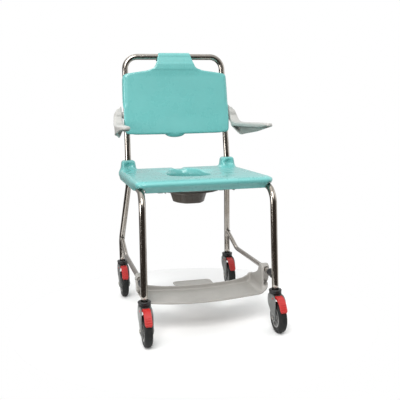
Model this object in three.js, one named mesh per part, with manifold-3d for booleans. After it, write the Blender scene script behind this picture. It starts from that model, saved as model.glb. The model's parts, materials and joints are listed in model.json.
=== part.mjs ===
// A wheeled shower commode chair, modelled in millimetres with +Z up.
// X runs across the chair, -Y is its front, and the origin is on the floor under the middle of its box.
import * as THREE from "three";
import { mergeVertices } from "three/addons/utils/BufferGeometryUtils.js";
import Module from "manifold-3d";

const wasm = await Module();
wasm.setup();

// ---- Driving dimensions -------------------------------------------------------------------------

const GAP = 0.3; // air between pieces that touch

// The middle of the wheelbase lies behind the box's middle, because the castors trail forward.
const WHEELBASE_MIDDLE_Y = 30.5;

// Frame tubes
const TUBE_R = 11;
const LEG_X = 216;
const FRONT_LEG_Y = -275;
const REAR_LEG_Y = 274;
const UPRIGHT_X = 192;
const UPRIGHT_Y = 187;
const RAIL_Z = 472; // seat rails and cross tubes
const UPRIGHT_STRAIGHT_Z = 548; // the back starts to lean here
const BACK_LEAN_Y = 0.115; // rearward travel per millimetre of height
const BACK_LEAN_X = 0.016; // inward travel per millimetre of height
const PUSH_BAR_Z = 920;
const PUSH_BAR_JOINT_Z = 870;
const PUSH_BAR_BEND_R = 46;
const LEG_BEND_R = 100;
const FRONT_BEND_R = 55;

// Seat shell
const SEAT_TOP_Z = 503;
const SEAT_BOTTOM_Z = 466;
const SEAT_SKIN = 6;
const SEAT_HALF_X = 230;
const SEAT_FRONT_Y = -254;
const SEAT_REAR_Y = 222;
const SEAT_CORNER_R = 26;
const APRON_TUCK = { x: 5, front: 18, rear: 5 }; // how far the apron draws in towards its lower edge
const SEAT_HOLE_Y = 20;
const SEAT_HOLE_HALF_X = 72;
const SEAT_HOLE_HALF_Y = 125;
const HUMP_R = 28;
const HUMP_TOP_Z = 539;

// Backrest shell
const BACKREST_BOTTOM_Z = 630;
const BACKREST_WRAP_Z = 732; // the side channels start above the armrest hubs
const BACKREST_FRONT = 22; // front face ahead of the upright's axis
const BACKREST_SKIN = 5;
const NECK_HALF_X = 60;

// Armrests
const ARM_PIVOT_Z = 705;
const ARM_INNER_X = 206.5;
const ARM_WALL = 5;
const ARM_TOP_Z = 672;
const ARM_PIN_R = 4;

// Footrest
const FOOT_RAIL_R = 8;
const FOOT_RAIL_Z = 182;
const FOOT_RAIL_END_Y = -246;
const FOOT_PLATE_Z = 102;
const FOOT_PLATE_T = 5;
const FOOT_HALF_X = 205;
const FOOT_EAR_Y = -176;
const FOOT_EAR_R = 19;

// Pan
const PAN_Y = 30;
const PAN_BOTTOM_Z = 397;
const PAN_RIM_Z = 446;
const PAN_WALL = 3;
const PAN_RAIL_X = 115;

// Castors
const WHEEL_R = 50;
const WHEEL_TRAIL = 30;
const WHEEL_SIDES = 24;
const AXLE_R = 4;
const FORK_TOP_Z = 122.3;
const FORK_CROWN_Z = 108;
const COLLAR_TOP_Z = 136;
const FORK_INNER_X = 15.5;
const FORK_PLATE = 5;
const PEDAL_PIVOT = { y: -27, z: 113 };

// ---- Colours ------------------------------------------------------------------------------------

const FINISH = {
  steel: { color: 0xb9b5ae, roughness: 0.22, metalness: 1.0 },
  turquoise: { color: 0x6cc4bf, roughness: 0.32, metalness: 0.0 },
  warmGrey: { color: 0xc3c2be, roughness: 0.5, metalness: 0.0 },
  footGrey: { color: 0xb7b6b2, roughness: 0.5, metalness: 0.0 },
  panGrey: { color: 0x77706a, roughness: 0.45, metalness: 0.0 },
  black: { color: 0x26262a, roughness: 0.6, metalness: 0.0 },
  forkGrey: { color: 0x8d8f90, roughness: 0.4, metalness: 0.1 },
  red: { color: 0xd8322f, roughness: 0.4, metalness: 0.0 },
  tyre: { color: 0x303135, roughness: 0.75, metalness: 0.0 },
};

const material = (finish) => new THREE.MeshStandardMaterial(FINISH[finish]);

// ---- Shape helpers ------------------------------------------------------------------------------

// Turns a closed geometry into a solid that can be joined and cut.
function solid(geometry) {
  const bare = geometry.clone();
  bare.deleteAttribute("normal");
  bare.deleteAttribute("uv");
  const merged = mergeVertices(bare, 1e-3);
  return new wasm.Manifold(
    new wasm.Mesh({
      numProp: 3,
      vertProperties: new Float32Array(merged.attributes.position.array),
      triVerts: new Uint32Array(merged.index.array),
    }),
  );
}

// Turns a solid back into a geometry with flat faces.
function geometryOf(manifold) {
  const mesh = manifold.getMesh();
  const geometry = new THREE.BufferGeometry();
  geometry.setAttribute("position", new THREE.BufferAttribute(mesh.vertProperties, 3));
  geometry.setIndex(new THREE.BufferAttribute(mesh.triVerts, 1));
  geometry.computeVertexNormals();
  return geometry;
}

const join = (solids) => solids.reduce((whole, next) => whole.add(next));
const cut = (whole, cutters) => cutters.reduce((rest, next) => rest.subtract(next), whole);

// The same geometry on the other side of the chair, with its faces turned to point out again.
function mirrored(geometry) {
  const copy = geometry.index ? geometry.toNonIndexed() : geometry.clone();
  copy.scale(-1, 1, 1);
  const at = copy.attributes.position;
  const a = new THREE.Vector3();
  const b = new THREE.Vector3();
  for (let i = 0; i < at.count; i += 3) {
    a.fromBufferAttribute(at, i);
    b.fromBufferAttribute(at, i + 1);
    at.setXYZ(i, b.x, b.y, b.z);
    at.setXYZ(i + 1, a.x, a.y, a.z);
  }
  return copy;
}

const bothSides = (geometry) => [solid(geometry), solid(mirrored(geometry))];

// A prism standing on z = low, from an outline in the XY plane.
function standing(shape, low, high, curveSegments = 12) {
  const options = { depth: high - low, bevelEnabled: false, curveSegments };
  return new THREE.ExtrudeGeometry(shape, options).translate(0, 0, low);
}

// A prism lying along X from x = low to high, from an outline whose axes are Y and Z.
function lyingAlongX(shape, low, high, curveSegments = 12) {
  const geometry = standing(shape, low, high, curveSegments);
  return geometry.applyMatrix4(
    new THREE.Matrix4().makeBasis(
      new THREE.Vector3(0, 1, 0),
      new THREE.Vector3(0, 0, 1),
      new THREE.Vector3(1, 0, 0),
    ),
  );
}

// A prism lying along Y from y = low to high, from an outline whose axes are X and Z.
function lyingAlongY(shape, low, high, curveSegments = 12) {
  const geometry = standing(shape, -high, -low, curveSegments);
  return geometry.applyMatrix4(
    new THREE.Matrix4().makeBasis(
      new THREE.Vector3(1, 0, 0),
      new THREE.Vector3(0, 0, 1),
      new THREE.Vector3(0, -1, 0),
    ),
  );
}

function cylinderX(radius, low, high, y, z, sides = 12) {
  const rod = new THREE.CylinderGeometry(radius, radius, high - low, sides);
  return rod.rotateZ(Math.PI / 2).translate((low + high) / 2, y, z);
}

function cylinderY(radius, low, high, x, z, sides = 12) {
  return new THREE.CylinderGeometry(radius, radius, high - low, sides).translate(x, (low + high) / 2, z);
}

function cylinderZ(radius, low, high, x, y, sides = 12) {
  const rod = new THREE.CylinderGeometry(radius, radius, high - low, sides);
  return rod.rotateX(Math.PI / 2).translate(x, y, (low + high) / 2);
}

function box(x0, x1, y0, y1, z0, z1) {
  const block = new THREE.BoxGeometry(x1 - x0, y1 - y0, z1 - z0);
  return block.translate((x0 + x1) / 2, (y0 + y1) / 2, (z0 + z1) / 2);
}

function circle(radius) {
  return new THREE.Shape().absarc(0, 0, radius, 0, 2 * Math.PI);
}

function ellipse(halfX, halfY, centreY) {
  return new THREE.Shape().absellipse(0, centreY, halfX, halfY, 0, 2 * Math.PI);
}

function roundedRectangle(halfX, y0, y1, radius) {
  const shape = new THREE.Shape();
  shape.absarc(halfX - radius, y0 + radius, radius, -Math.PI / 2, 0);
  shape.absarc(halfX - radius, y1 - radius, radius, 0, Math.PI / 2);
  shape.absarc(radius - halfX, y1 - radius, radius, Math.PI / 2, Math.PI);
  shape.absarc(radius - halfX, y0 + radius, radius, Math.PI, 1.5 * Math.PI);
  return shape;
}

function outline(points) {
  return new THREE.Shape(points.map(([u, v]) => new THREE.Vector2(u, v)));
}

// The centre line of a bent tube: straight runs joined by round bends, with stations only at the bends.
class BentPath extends THREE.Curve {
  constructor(corners, bendRadius, stepDegrees = 22.5) {
    super();
    const at = corners.map(([x, y, z]) => new THREE.Vector3(x, y, z));
    const towards = (i) => at[i + 1].clone().sub(at[i]).normalize();
    this.stations = [{ point: at[0], tangent: towards(0) }];
    for (let i = 1; i < at.length - 1; i++) {
      const before = towards(i - 1);
      const after = towards(i);
      const turn = before.angleTo(after);
      const inward = after.clone().addScaledVector(before, -Math.cos(turn)).divideScalar(Math.sin(turn));
      const start = at[i].clone().addScaledVector(before, -bendRadius * Math.tan(turn / 2));
      const steps = Math.max(2, Math.round(THREE.MathUtils.radToDeg(turn) / stepDegrees));
      for (let k = 0; k <= steps; k++) {
        const angle = (turn * k) / steps;
        const point = start
          .clone()
          .addScaledVector(before, bendRadius * Math.sin(angle))
          .addScaledVector(inward, bendRadius * (1 - Math.cos(angle)));
        const tangent = before
          .clone()
          .multiplyScalar(Math.cos(angle))
          .addScaledVector(inward, Math.sin(angle));
        this.stations.push({ point, tangent });
      }
    }
    this.stations.push({ point: at[at.length - 1], tangent: towards(at.length - 2) });
  }

  getPoint(t, target = new THREE.Vector3()) {
    const place = t * (this.stations.length - 1);
    const index = Math.min(Math.round(place), this.stations.length - 1);
    return target.copy(this.stations[index].point);
  }

  getPointAt(u, target) {
    return this.getPoint(u, target);
  }

  getTangentAt(u, target = new THREE.Vector3()) {
    return target.copy(this.stations[Math.round(u * (this.stations.length - 1))].tangent);
  }
}

function tube(path, radius, sides = 10) {
  const options = { steps: path.stations.length - 1, curveSegments: sides, extrudePath: path };
  return new THREE.ExtrudeGeometry(circle(radius), options);
}

// A turned piece whose axis is Z, from radius and height pairs.
function turned(profile, sides) {
  const points = profile.map(([r, h]) => new THREE.Vector2(r, h));
  return new THREE.LatheGeometry(points, sides).rotateX(Math.PI / 2);
}

// ---- The assembly -------------------------------------------------------------------------------

const chair = new THREE.Group();
chair.position.y = WHEELBASE_MIDDLE_Y;

function place(name, geometry, finish, parent = chair) {
  const mesh = new THREE.Mesh(geometry, material(finish));
  mesh.name = name;
  parent.add(mesh);
  return mesh;
}

// Builds the right-hand piece and its mirror image on the left.
function placePair(name, geometry, finish) {
  place(name + "_right", geometry, finish);
  place(name + "_left", geometry.clone(), finish).scale.x = -1;
}

// The upright's axis at a height on its leaning part.
function uprightAt(z) {
  const rise = z - UPRIGHT_STRAIGHT_Z;
  return { x: UPRIGHT_X - BACK_LEAN_X * rise, y: UPRIGHT_Y + BACK_LEAN_Y * rise };
}

// ---- Frame --------------------------------------------------------------------------------------

const LEG_BOTTOM_Z = COLLAR_TOP_Z + GAP;
const uprightTop = uprightAt(PUSH_BAR_JOINT_Z);
const barCorner = uprightAt(PUSH_BAR_Z);

const rearPath = new BentPath(
  [
    [LEG_X, REAR_LEG_Y, LEG_BOTTOM_Z],
    [LEG_X, REAR_LEG_Y, 222],
    [UPRIGHT_X, UPRIGHT_Y, 452],
    [UPRIGHT_X, UPRIGHT_Y, UPRIGHT_STRAIGHT_Z],
    [uprightTop.x, uprightTop.y, PUSH_BAR_JOINT_Z],
  ],
  LEG_BEND_R,
);

const RAIL_FRONT_X = 212;
const RAIL_FRONT_Y = -267;
const RAIL_REAR_Y = UPRIGHT_Y - TUBE_R - GAP;
const frontPath = new BentPath(
  [
    [LEG_X, FRONT_LEG_Y, LEG_BOTTOM_Z],
    [RAIL_FRONT_X, RAIL_FRONT_Y, RAIL_Z],
    [UPRIGHT_X, RAIL_REAR_Y, RAIL_Z],
  ],
  FRONT_BEND_R,
);

const footRailPath = new BentPath(
  [
    [LEG_X, 268, 230],
    [LEG_X, 142, FOOT_RAIL_Z],
    [LEG_X, FOOT_RAIL_END_Y, FOOT_RAIL_Z],
  ],
  LEG_BEND_R,
);

// Where the seat rail is across the chair, at a given distance along it.
function railXAt(y) {
  const share = (y - RAIL_FRONT_Y) / (RAIL_REAR_Y - RAIL_FRONT_Y);
  return RAIL_FRONT_X + share * (UPRIGHT_X - RAIL_FRONT_X);
}

function buildFrame() {
  placePair("rear_tube", tube(rearPath, TUBE_R), "steel");
  placePair("front_tube", tube(frontPath, TUBE_R), "steel");

  const jointAt = uprightAt(PUSH_BAR_JOINT_Z + GAP);
  const barPath = new BentPath(
    [
      [jointAt.x, jointAt.y, PUSH_BAR_JOINT_Z + GAP],
      [barCorner.x, barCorner.y, PUSH_BAR_Z],
      [-barCorner.x, barCorner.y, PUSH_BAR_Z],
      [-jointAt.x, jointAt.y, PUSH_BAR_JOINT_Z + GAP],
    ],
    PUSH_BAR_BEND_R,
  );
  place("push_bar", tube(barPath, TUBE_R), "steel");

  const frontCrossY = -140;
  const frontReach = railXAt(frontCrossY) - TUBE_R - 2 * GAP;
  const rearReach = UPRIGHT_X - TUBE_R - GAP;
  place("cross_tube_front", cylinderX(TUBE_R, -frontReach, frontReach, frontCrossY, RAIL_Z), "steel");
  place("cross_tube_rear", cylinderX(TUBE_R, -rearReach, rearReach, UPRIGHT_Y, RAIL_Z), "steel");

  const footRail = cut(solid(tube(footRailPath, FOOT_RAIL_R)), [solid(tube(rearPath, TUBE_R + GAP))]);
  placePair("footrest_rail", geometryOf(footRail), "steel");
}

// Black mouldings behind the front legs that hold the ends of the footrest rails.
function buildRailClamps() {
  const blockR = 12;
  const saddleY = FRONT_LEG_Y + 8; // it hugs the back of the leg from here
  const rearY = -226;
  const cheek = 13;
  const block = join([
    solid(cylinderY(blockR, saddleY, rearY, LEG_X, FOOT_RAIL_Z)),
    solid(box(LEG_X - 9, LEG_X + 9, saddleY, -248, FOOT_RAIL_Z - cheek, FOOT_RAIL_Z + cheek)),
  ]);
  const bores = [solid(tube(frontPath, TUBE_R + GAP)), solid(tube(footRailPath, FOOT_RAIL_R + GAP))];
  placePair("rail_clamp", geometryOf(cut(block, bores)), "black");
}

// ---- Seat ---------------------------------------------------------------------------------------

// Draws a prism in towards the seat's lower edge, so that the apron slopes.
function withApronSlope(geometry) {
  const at = geometry.attributes.position;
  const depth = SEAT_REAR_Y - SEAT_FRONT_Y;
  const scaleX = 1 - APRON_TUCK.x / SEAT_HALF_X;
  const scaleY = 1 - (APRON_TUCK.front + APRON_TUCK.rear) / depth;
  for (let i = 0; i < at.count; i++) {
    const share = (at.getZ(i) - SEAT_BOTTOM_Z) / (SEAT_TOP_Z - SEAT_BOTTOM_Z);
    const y = at.getY(i);
    const tuckedY = SEAT_FRONT_Y + APRON_TUCK.front + (y - SEAT_FRONT_Y) * scaleY;
    at.setX(i, at.getX(i) * THREE.MathUtils.lerp(scaleX, 1, share));
    at.setY(i, THREE.MathUtils.lerp(tuckedY, y, share));
  }
  return geometry;
}

function buildSeat() {
  const skinUnder = SEAT_TOP_Z - SEAT_SKIN;
  const outer = roundedRectangle(SEAT_HALF_X, SEAT_FRONT_Y, SEAT_REAR_Y, SEAT_CORNER_R);
  const inner = roundedRectangle(
    SEAT_HALF_X - SEAT_SKIN,
    SEAT_FRONT_Y + SEAT_SKIN,
    SEAT_REAR_Y - SEAT_SKIN,
    SEAT_CORNER_R - SEAT_SKIN,
  );
  let seat = cut(solid(withApronSlope(standing(outer, SEAT_BOTTOM_Z, SEAT_TOP_Z, 4))), [
    solid(withApronSlope(standing(inner, SEAT_BOTTOM_Z - 1, skinUnder, 3))),
  ]);

  // The splash skirt round the opening, and the collars that grip the uprights.
  const skirtWall = 5;
  const skirt = ellipse(SEAT_HOLE_HALF_X + skirtWall, SEAT_HOLE_HALF_Y + skirtWall, SEAT_HOLE_Y);
  const gripR = 16;
  seat = join([
    seat,
    solid(standing(skirt, SEAT_BOTTOM_Z + 2, skinUnder + 1, 24)),
    ...bothSides(cylinderZ(gripR, 486, skinUnder + 1, UPRIGHT_X, UPRIGHT_Y)),
    ...bothSides(cylinderZ(HUMP_R, skinUnder, HUMP_TOP_Z, UPRIGHT_X, UPRIGHT_Y, 16)),
  ]);

  // The front legs leave through notches in the apron, and water leaves by a notch at the back.
  const notchHalf = 14;
  const notch = new THREE.Shape();
  notch.moveTo(-notchHalf, -20);
  notch.lineTo(notchHalf, -20);
  notch.absarc(0, 0, notchHalf, 0, Math.PI);
  const hole = ellipse(SEAT_HOLE_HALF_X, SEAT_HOLE_HALF_Y, SEAT_HOLE_Y);
  const notchZ = 468;
  const legNotch = lyingAlongY(notch, SEAT_FRONT_Y - 10, SEAT_FRONT_Y + 32, 6);
  seat = cut(seat, [
    solid(standing(hole, SEAT_BOTTOM_Z - 10, SEAT_TOP_Z + 10, 24)),
    ...bothSides(tube(rearPath, TUBE_R + 2 * GAP)),
    ...bothSides(legNotch.translate(railXAt(RAIL_FRONT_Y) - 1, 0, notchZ)),
    ...bothSides(tube(frontPath, TUBE_R + 2 * GAP)),
    solid(box(-20, 20, SEAT_REAR_Y - 30, SEAT_REAR_Y + 10, SEAT_TOP_Z - 3, SEAT_TOP_Z + 10)),
  ]);
  place("seat", geometryOf(seat), "turquoise");
}

// Snap clips that hold the seat shell to its rails.
function buildSeatClips() {
  const innerR = TUBE_R + GAP;
  const outerR = innerR + 3;
  const mouth = Math.PI / 4;
  const clip = new THREE.Shape();
  clip.absarc(0, 0, outerR, mouth - Math.PI / 2, 1.5 * Math.PI - mouth);
  clip.absarc(0, 0, innerR, 1.5 * Math.PI - mouth, mouth - Math.PI / 2, true);
  const reach = SEAT_TOP_Z - SEAT_SKIN - GAP - RAIL_Z;
  const stem = box(-6, 6, -9, 9, innerR + 1, reach);
  const ring = lyingAlongY(clip, -9, 9, 7);
  const shape = geometryOf(join([solid(ring), solid(stem)]));
  const slant = Math.atan2(RAIL_FRONT_X - UPRIGHT_X, RAIL_REAR_Y - RAIL_FRONT_Y);
  for (const [where, y] of [
    ["front", -80],
    ["rear", 100],
  ]) {
    const clipAt = shape.clone().rotateZ(slant).translate(railXAt(y), y, RAIL_Z);
    placePair("seat_clip_" + where, clipAt, "black");
  }
}

// ---- Backrest -----------------------------------------------------------------------------------

function buildBackrest() {
  const lean = Math.atan(BACK_LEAN_Y);
  const inward = Math.atan(BACK_LEAN_X);
  const along = (z) => (z - UPRIGHT_STRAIGHT_Z) / Math.cos(lean); // height on the leaning plane
  const low = along(BACKREST_BOTTOM_Z);
  const shoulder = along(853);

  // The front panel, half of its outline from the bottom middle to the neck.
  const edge = uprightAt(BACKREST_BOTTOM_Z).x + 13;
  const edgeTop = uprightAt(853).x + 13;
  const half = [
    [edge - 16, low],
    [edge, low + 16],
    [edgeTop, shoulder - 10],
    [edgeTop - 10, shoulder],
    [130, along(862)],
    [92, along(869)],
    [76, along(881)],
    [68, along(900)],
    [NECK_HALF_X, along(910)],
  ];
  const panelShape = outline([...half, ...half.map(([x, s]) => [-x, s]).reverse()]);
  const panel = lyingAlongY(panelShape, -BACKREST_FRONT, BACKREST_SKIN - BACKREST_FRONT);

  // A channel that wraps each upright from the front round its outer side.
  const innerR = TUBE_R + GAP + 0.1;
  const outerR = innerR + 3;
  const wrapEnd = THREE.MathUtils.degToRad(50);
  const channel = new THREE.Shape();
  channel.moveTo(-14, -BACKREST_FRONT + 1);
  channel.lineTo(7, -BACKREST_FRONT + 1);
  channel.quadraticCurveTo(outerR, -BACKREST_FRONT + 1, outerR, -13);
  channel.absarc(0, 0, outerR, 0, wrapEnd);
  channel.absarc(0, 0, innerR, wrapEnd, -Math.PI / 2, true);
  channel.lineTo(-14, -innerR);
  const wrapFoot = along(BACKREST_WRAP_Z);
  const wrap = standing(channel, 0, shoulder - 6 - wrapFoot, 5);
  wrap.rotateY(-inward).translate(uprightAt(BACKREST_WRAP_Z).x, 0, wrapFoot);

  // The strap of the neck that hooks over the push bar.
  const barAt = along(PUSH_BAR_Z);
  const hookIn = TUBE_R + GAP;
  const hookOut = hookIn + 3.2;
  const hook = new THREE.Shape();
  hook.moveTo(-BACKREST_FRONT, along(888));
  hook.lineTo(-hookOut, barAt - 8);
  hook.absarc(0, barAt, hookOut, Math.PI, 0, true);
  hook.lineTo(hookOut, barAt - 10);
  hook.lineTo(hookIn, barAt - 10);
  hook.absarc(0, barAt, hookIn, 0, Math.PI);
  hook.lineTo(-hookIn, barAt - 8);
  hook.lineTo(BACKREST_SKIN - BACKREST_FRONT, along(882));
  const strap = lyingAlongX(hook, -NECK_HALF_X, NECK_HALF_X, 8);

  // A finger lip under the bottom edge.
  const lip = new THREE.Shape().absellipse(-10, low + 4, 34, 15, 0, 2 * Math.PI);
  const fingerLip = lyingAlongY(lip, BACKREST_SKIN - BACKREST_FRONT - 1, -4, 12);

  const neckCut = box(-NECK_HALF_X - 20, NECK_HALF_X + 20, -60, -10, along(896), along(960));
  const shell = join([
    cut(solid(panel), [solid(neckCut)]),
    ...bothSides(wrap),
    solid(strap),
    solid(fingerLip),
  ]);
  const geometry = geometryOf(shell).rotateX(-lean).translate(0, UPRIGHT_Y, UPRIGHT_STRAIGHT_Z);
  place("backrest", geometry, "turquoise");
}

// ---- Armrests -----------------------------------------------------------------------------------

function buildArms() {
  const pivot = uprightAt(ARM_PIVOT_Z);
  const outerEdge = [
    [258, -118],
    [259, -40],
    [253, 60],
    [244, 130],
    [238, 175],
    [232, 222],
  ];
  const innerEdge = [
    [ARM_INNER_X, 222],
    [ARM_INNER_X, 150],
    [212, 60],
    [219, -60],
    [223, -132],
  ];
  const tip = [
    [232, -156],
    [241, -165],
    [250, -156],
  ];
  const plan = standing(outline([...innerEdge, ...tip, ...outerEdge]), 600, 745);

  // The side view: a tall wing beside the backrest that drops into the flat rest.
  const top = [
    [-170, ARM_TOP_Z],
    [130, ARM_TOP_Z],
    [155, ARM_TOP_Z + 5],
    [176, ARM_TOP_Z + 18],
    [190, ARM_TOP_Z + 38],
    [201, ARM_TOP_Z + 58],
    [210, ARM_TOP_Z + 69],
    [224, ARM_TOP_Z + 69],
  ];
  const bottom = [
    [224, 693],
    [211, 685],
    [192, 673],
    [172, 660],
    [150, 645],
    [130, 632],
    [112, 627],
    [77, 631],
    [0, 641],
    [-80, 652],
    [-170, 661],
  ];
  const side = lyingAlongX(outline([...top, ...bottom]), 190, 280);
  const underTop = top.map(([y, z]) => [y, z - ARM_WALL]);
  const underside = lyingAlongX(outline([...underTop, [240, 736], [240, 560], [-170, 560]]), 190, 280);

  // The hollow is open below and behind. It leaves a deep skirt outside and a short lip inside.
  const insetOuter = outerEdge.map(([x, y]) => [x - ARM_WALL, y]);
  const insetTip = tip.map(([x, y]) => [x, y + ARM_WALL]);
  const insetInner = innerEdge.map(([x, y]) => [x + ARM_WALL, y]);
  const beyondInner = innerEdge.map(([x, y]) => [x - 2 * ARM_WALL, y]);
  const lipDepth = 15;
  const hollow = standing(outline([...insetInner, ...insetTip, ...insetOuter]), 560, 760);
  const openSide = standing(outline([...beyondInner, ...insetTip, ...insetOuter]), 560, ARM_TOP_Z - lipDepth);
  const shell = cut(solid(plan).intersect(solid(side)), [
    solid(hollow).intersect(solid(underside)),
    solid(openSide),
  ]);
  const bossR = 14;
  const boss = solid(cylinderX(bossR, ARM_INNER_X, 232, pivot.y, ARM_PIVOT_Z));
  const bore = solid(cylinderX(ARM_PIN_R + GAP, 190, 225, pivot.y, ARM_PIVOT_Z));
  placePair("arm", geometryOf(cut(shell.add(boss), [bore])), "warmGrey");

  const hubR = 14.8; // a collar round the upright, behind the backrest panel
  const hubHalfZ = 13;
  const hub = join([
    solid(cylinderZ(hubR, ARM_PIVOT_Z - hubHalfZ, ARM_PIVOT_Z + hubHalfZ, pivot.x, pivot.y, 16)),
    solid(cylinderX(11, pivot.x, ARM_INNER_X - GAP, pivot.y, ARM_PIVOT_Z)),
  ]);
  const hubCuts = [solid(tube(rearPath, TUBE_R + GAP)), bore];
  placePair("arm_hub", geometryOf(cut(hub, hubCuts)), "warmGrey");
  placePair("arm_pin", cylinderX(ARM_PIN_R, 203.5, 224.5, pivot.y, ARM_PIVOT_Z), "steel");
}

// ---- Footrest -----------------------------------------------------------------------------------

function buildFootrest() {
  const rear = -62;
  const plateTop = FOOT_PLATE_Z + FOOT_PLATE_T;
  const plateShape = new THREE.Shape();
  plateShape.moveTo(-FOOT_HALF_X, rear);
  plateShape.quadraticCurveTo(0, -138, FOOT_HALF_X, rear);
  plateShape.lineTo(FOOT_HALF_X, -178);
  plateShape.quadraticCurveTo(FOOT_HALF_X, -205, 178, -214);
  plateShape.quadraticCurveTo(0, -280, -178, -214);
  plateShape.quadraticCurveTo(-FOOT_HALF_X, -205, -FOOT_HALF_X, -178);

  const wallT = 5;
  const wallShape = new THREE.Shape();
  wallShape.moveTo(-FOOT_HALF_X, rear);
  wallShape.quadraticCurveTo(0, -138, FOOT_HALF_X, rear);
  wallShape.lineTo(FOOT_HALF_X, rear - wallT);
  wallShape.quadraticCurveTo(0, -138 - wallT, -FOOT_HALF_X, rear - wallT);

  // Side view of an ear: a web up from the plate to a round head on the rail.
  const web = outline([
    [-194, FOOT_PLATE_Z + 1],
    [-64, FOOT_PLATE_Z + 1],
    [-64, 128],
    [-120, 133],
    [-152, 148],
    [-158, 186],
    [-190, 192],
    [-195, 180],
  ]);
  const head = new THREE.Shape();
  head.absarc(FOOT_EAR_Y, FOOT_RAIL_Z, FOOT_EAR_R, -0.35, Math.PI + 0.25);
  head.lineTo(-184, 146);
  head.absarc(-172, 144, 10, Math.PI, 2 * Math.PI);

  // The plate's ends turn up to meet the ears.
  const upturn = outline([
    [188, FOOT_PLATE_Z],
    [208, FOOT_PLATE_Z + 2],
    [218, FOOT_PLATE_Z + 6],
    [223, FOOT_PLATE_Z + 14],
    [219, FOOT_PLATE_Z + 18],
    [213, FOOT_PLATE_Z + 11],
    [205, FOOT_PLATE_Z + 7],
    [188, plateTop],
  ]);

  const tongue = roundedRectangle(70, -112, 15, 14);
  const footrest = join([
    solid(standing(plateShape, FOOT_PLATE_Z, plateTop, 8)),
    solid(standing(wallShape, FOOT_PLATE_Z, 124, 8)),
    solid(standing(tongue, FOOT_PLATE_Z, plateTop, 3)),
    ...bothSides(lyingAlongY(upturn, -206, -120)),
    ...bothSides(lyingAlongX(web, FOOT_HALF_X - 6, FOOT_HALF_X + 1)),
    ...bothSides(lyingAlongX(head, FOOT_HALF_X, 227, 7)),
  ]);
  const runs = bothSides(cylinderY(FOOT_RAIL_R + 2 * GAP, -220, -40, LEG_X, FOOT_RAIL_Z));
  place("footrest", geometryOf(cut(footrest, runs)), "footGrey");
  placePair("footrest_screw", cylinderX(5, 227 + GAP, 230, FOOT_EAR_Y, FOOT_RAIL_Z), "steel");
}

// ---- Pan and its rails --------------------------------------------------------------------------

// The bowl's facetted outline about its own middle: the corners in one quarter, at the mouth.
const BOWL_HALF_X = 73;
const BOWL_QUARTER = [
  [39, -96],
  [65, -43],
  [BOWL_HALF_X, 0],
];

// A closed tapered tub: the bowl's outline drawn in by a margin, and narrowed towards its foot.
function tub(margin, low, high) {
  const footShare = 0.795;
  const drawnIn = 1 - margin / BOWL_HALF_X;
  const half = [...BOWL_QUARTER, ...BOWL_QUARTER.slice(0, 2).map(([x, y]) => [x, -y]).reverse()];
  const geometry = standing(outline([...half, ...half.map(([x, y]) => [-x, -y])]), low, high);
  const at = geometry.attributes.position;
  for (let i = 0; i < at.count; i++) {
    const share = drawnIn * THREE.MathUtils.lerp(footShare, 1, (at.getZ(i) - low) / (high - low));
    at.setXYZ(i, at.getX(i) * share, at.getY(i) * share + PAN_Y, at.getZ(i));
  }
  return geometry;
}

function buildPan() {
  const rimHalfX = 111;
  const rimHalfY = 140;
  const rimT = 6;
  const rim = ellipse(rimHalfX, rimHalfY, PAN_Y);
  const grip = roundedRectangle(34, PAN_Y + 112, PAN_Y + 172, 14);
  const pan = join([
    solid(tub(0, PAN_BOTTOM_Z, PAN_RIM_Z - 1)),
    solid(standing(rim, PAN_RIM_Z - rimT, PAN_RIM_Z, 10)),
    solid(standing(grip, PAN_RIM_Z - rimT, PAN_RIM_Z - 1, 3)),
  ]);
  const inside = tub(PAN_WALL, PAN_BOTTOM_Z + PAN_WALL, PAN_RIM_Z + 10);
  place("pan", geometryOf(cut(pan, [solid(inside)])), "panGrey");

  // Each rail is a channel with a lip that carries the pan's rim. A strap runs forward from its web
  // to the front cross tube, and the rail hangs under the rear one.
  const lipTop = PAN_RIM_Z - rimT - GAP;
  const hang = RAIL_Z - TUBE_R - GAP;
  const web = 4;
  const channel = outline([
    [PAN_RAIL_X - 13, lipTop - web],
    [PAN_RAIL_X + web, lipTop - web],
    [PAN_RAIL_X + web, hang],
    [PAN_RAIL_X, hang],
    [PAN_RAIL_X, lipTop],
    [PAN_RAIL_X - 13, lipTop],
  ]);
  const rail = join([
    solid(lyingAlongY(channel, -25, 200)),
    solid(box(PAN_RAIL_X, PAN_RAIL_X + web, -152, -24, hang - 9, hang)),
  ]);
  placePair("pan_rail", geometryOf(rail), "footGrey");
}

// ---- Castors ------------------------------------------------------------------------------------

// The two side plates of the fork, from the crown down to the axle.
function forkPlate() {
  const plate = new THREE.Shape();
  plate.moveTo(18, FORK_TOP_Z);
  plate.lineTo(-20, FORK_TOP_Z);
  plate.quadraticCurveTo(-36, 118, -38, 104);
  plate.lineTo(-44, 54);
  plate.absarc(-WHEEL_TRAIL, WHEEL_R, 15, Math.PI * 0.92, Math.PI * 1.9);
  plate.quadraticCurveTo(0, 72, 18, 92);
  return plate;
}

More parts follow.
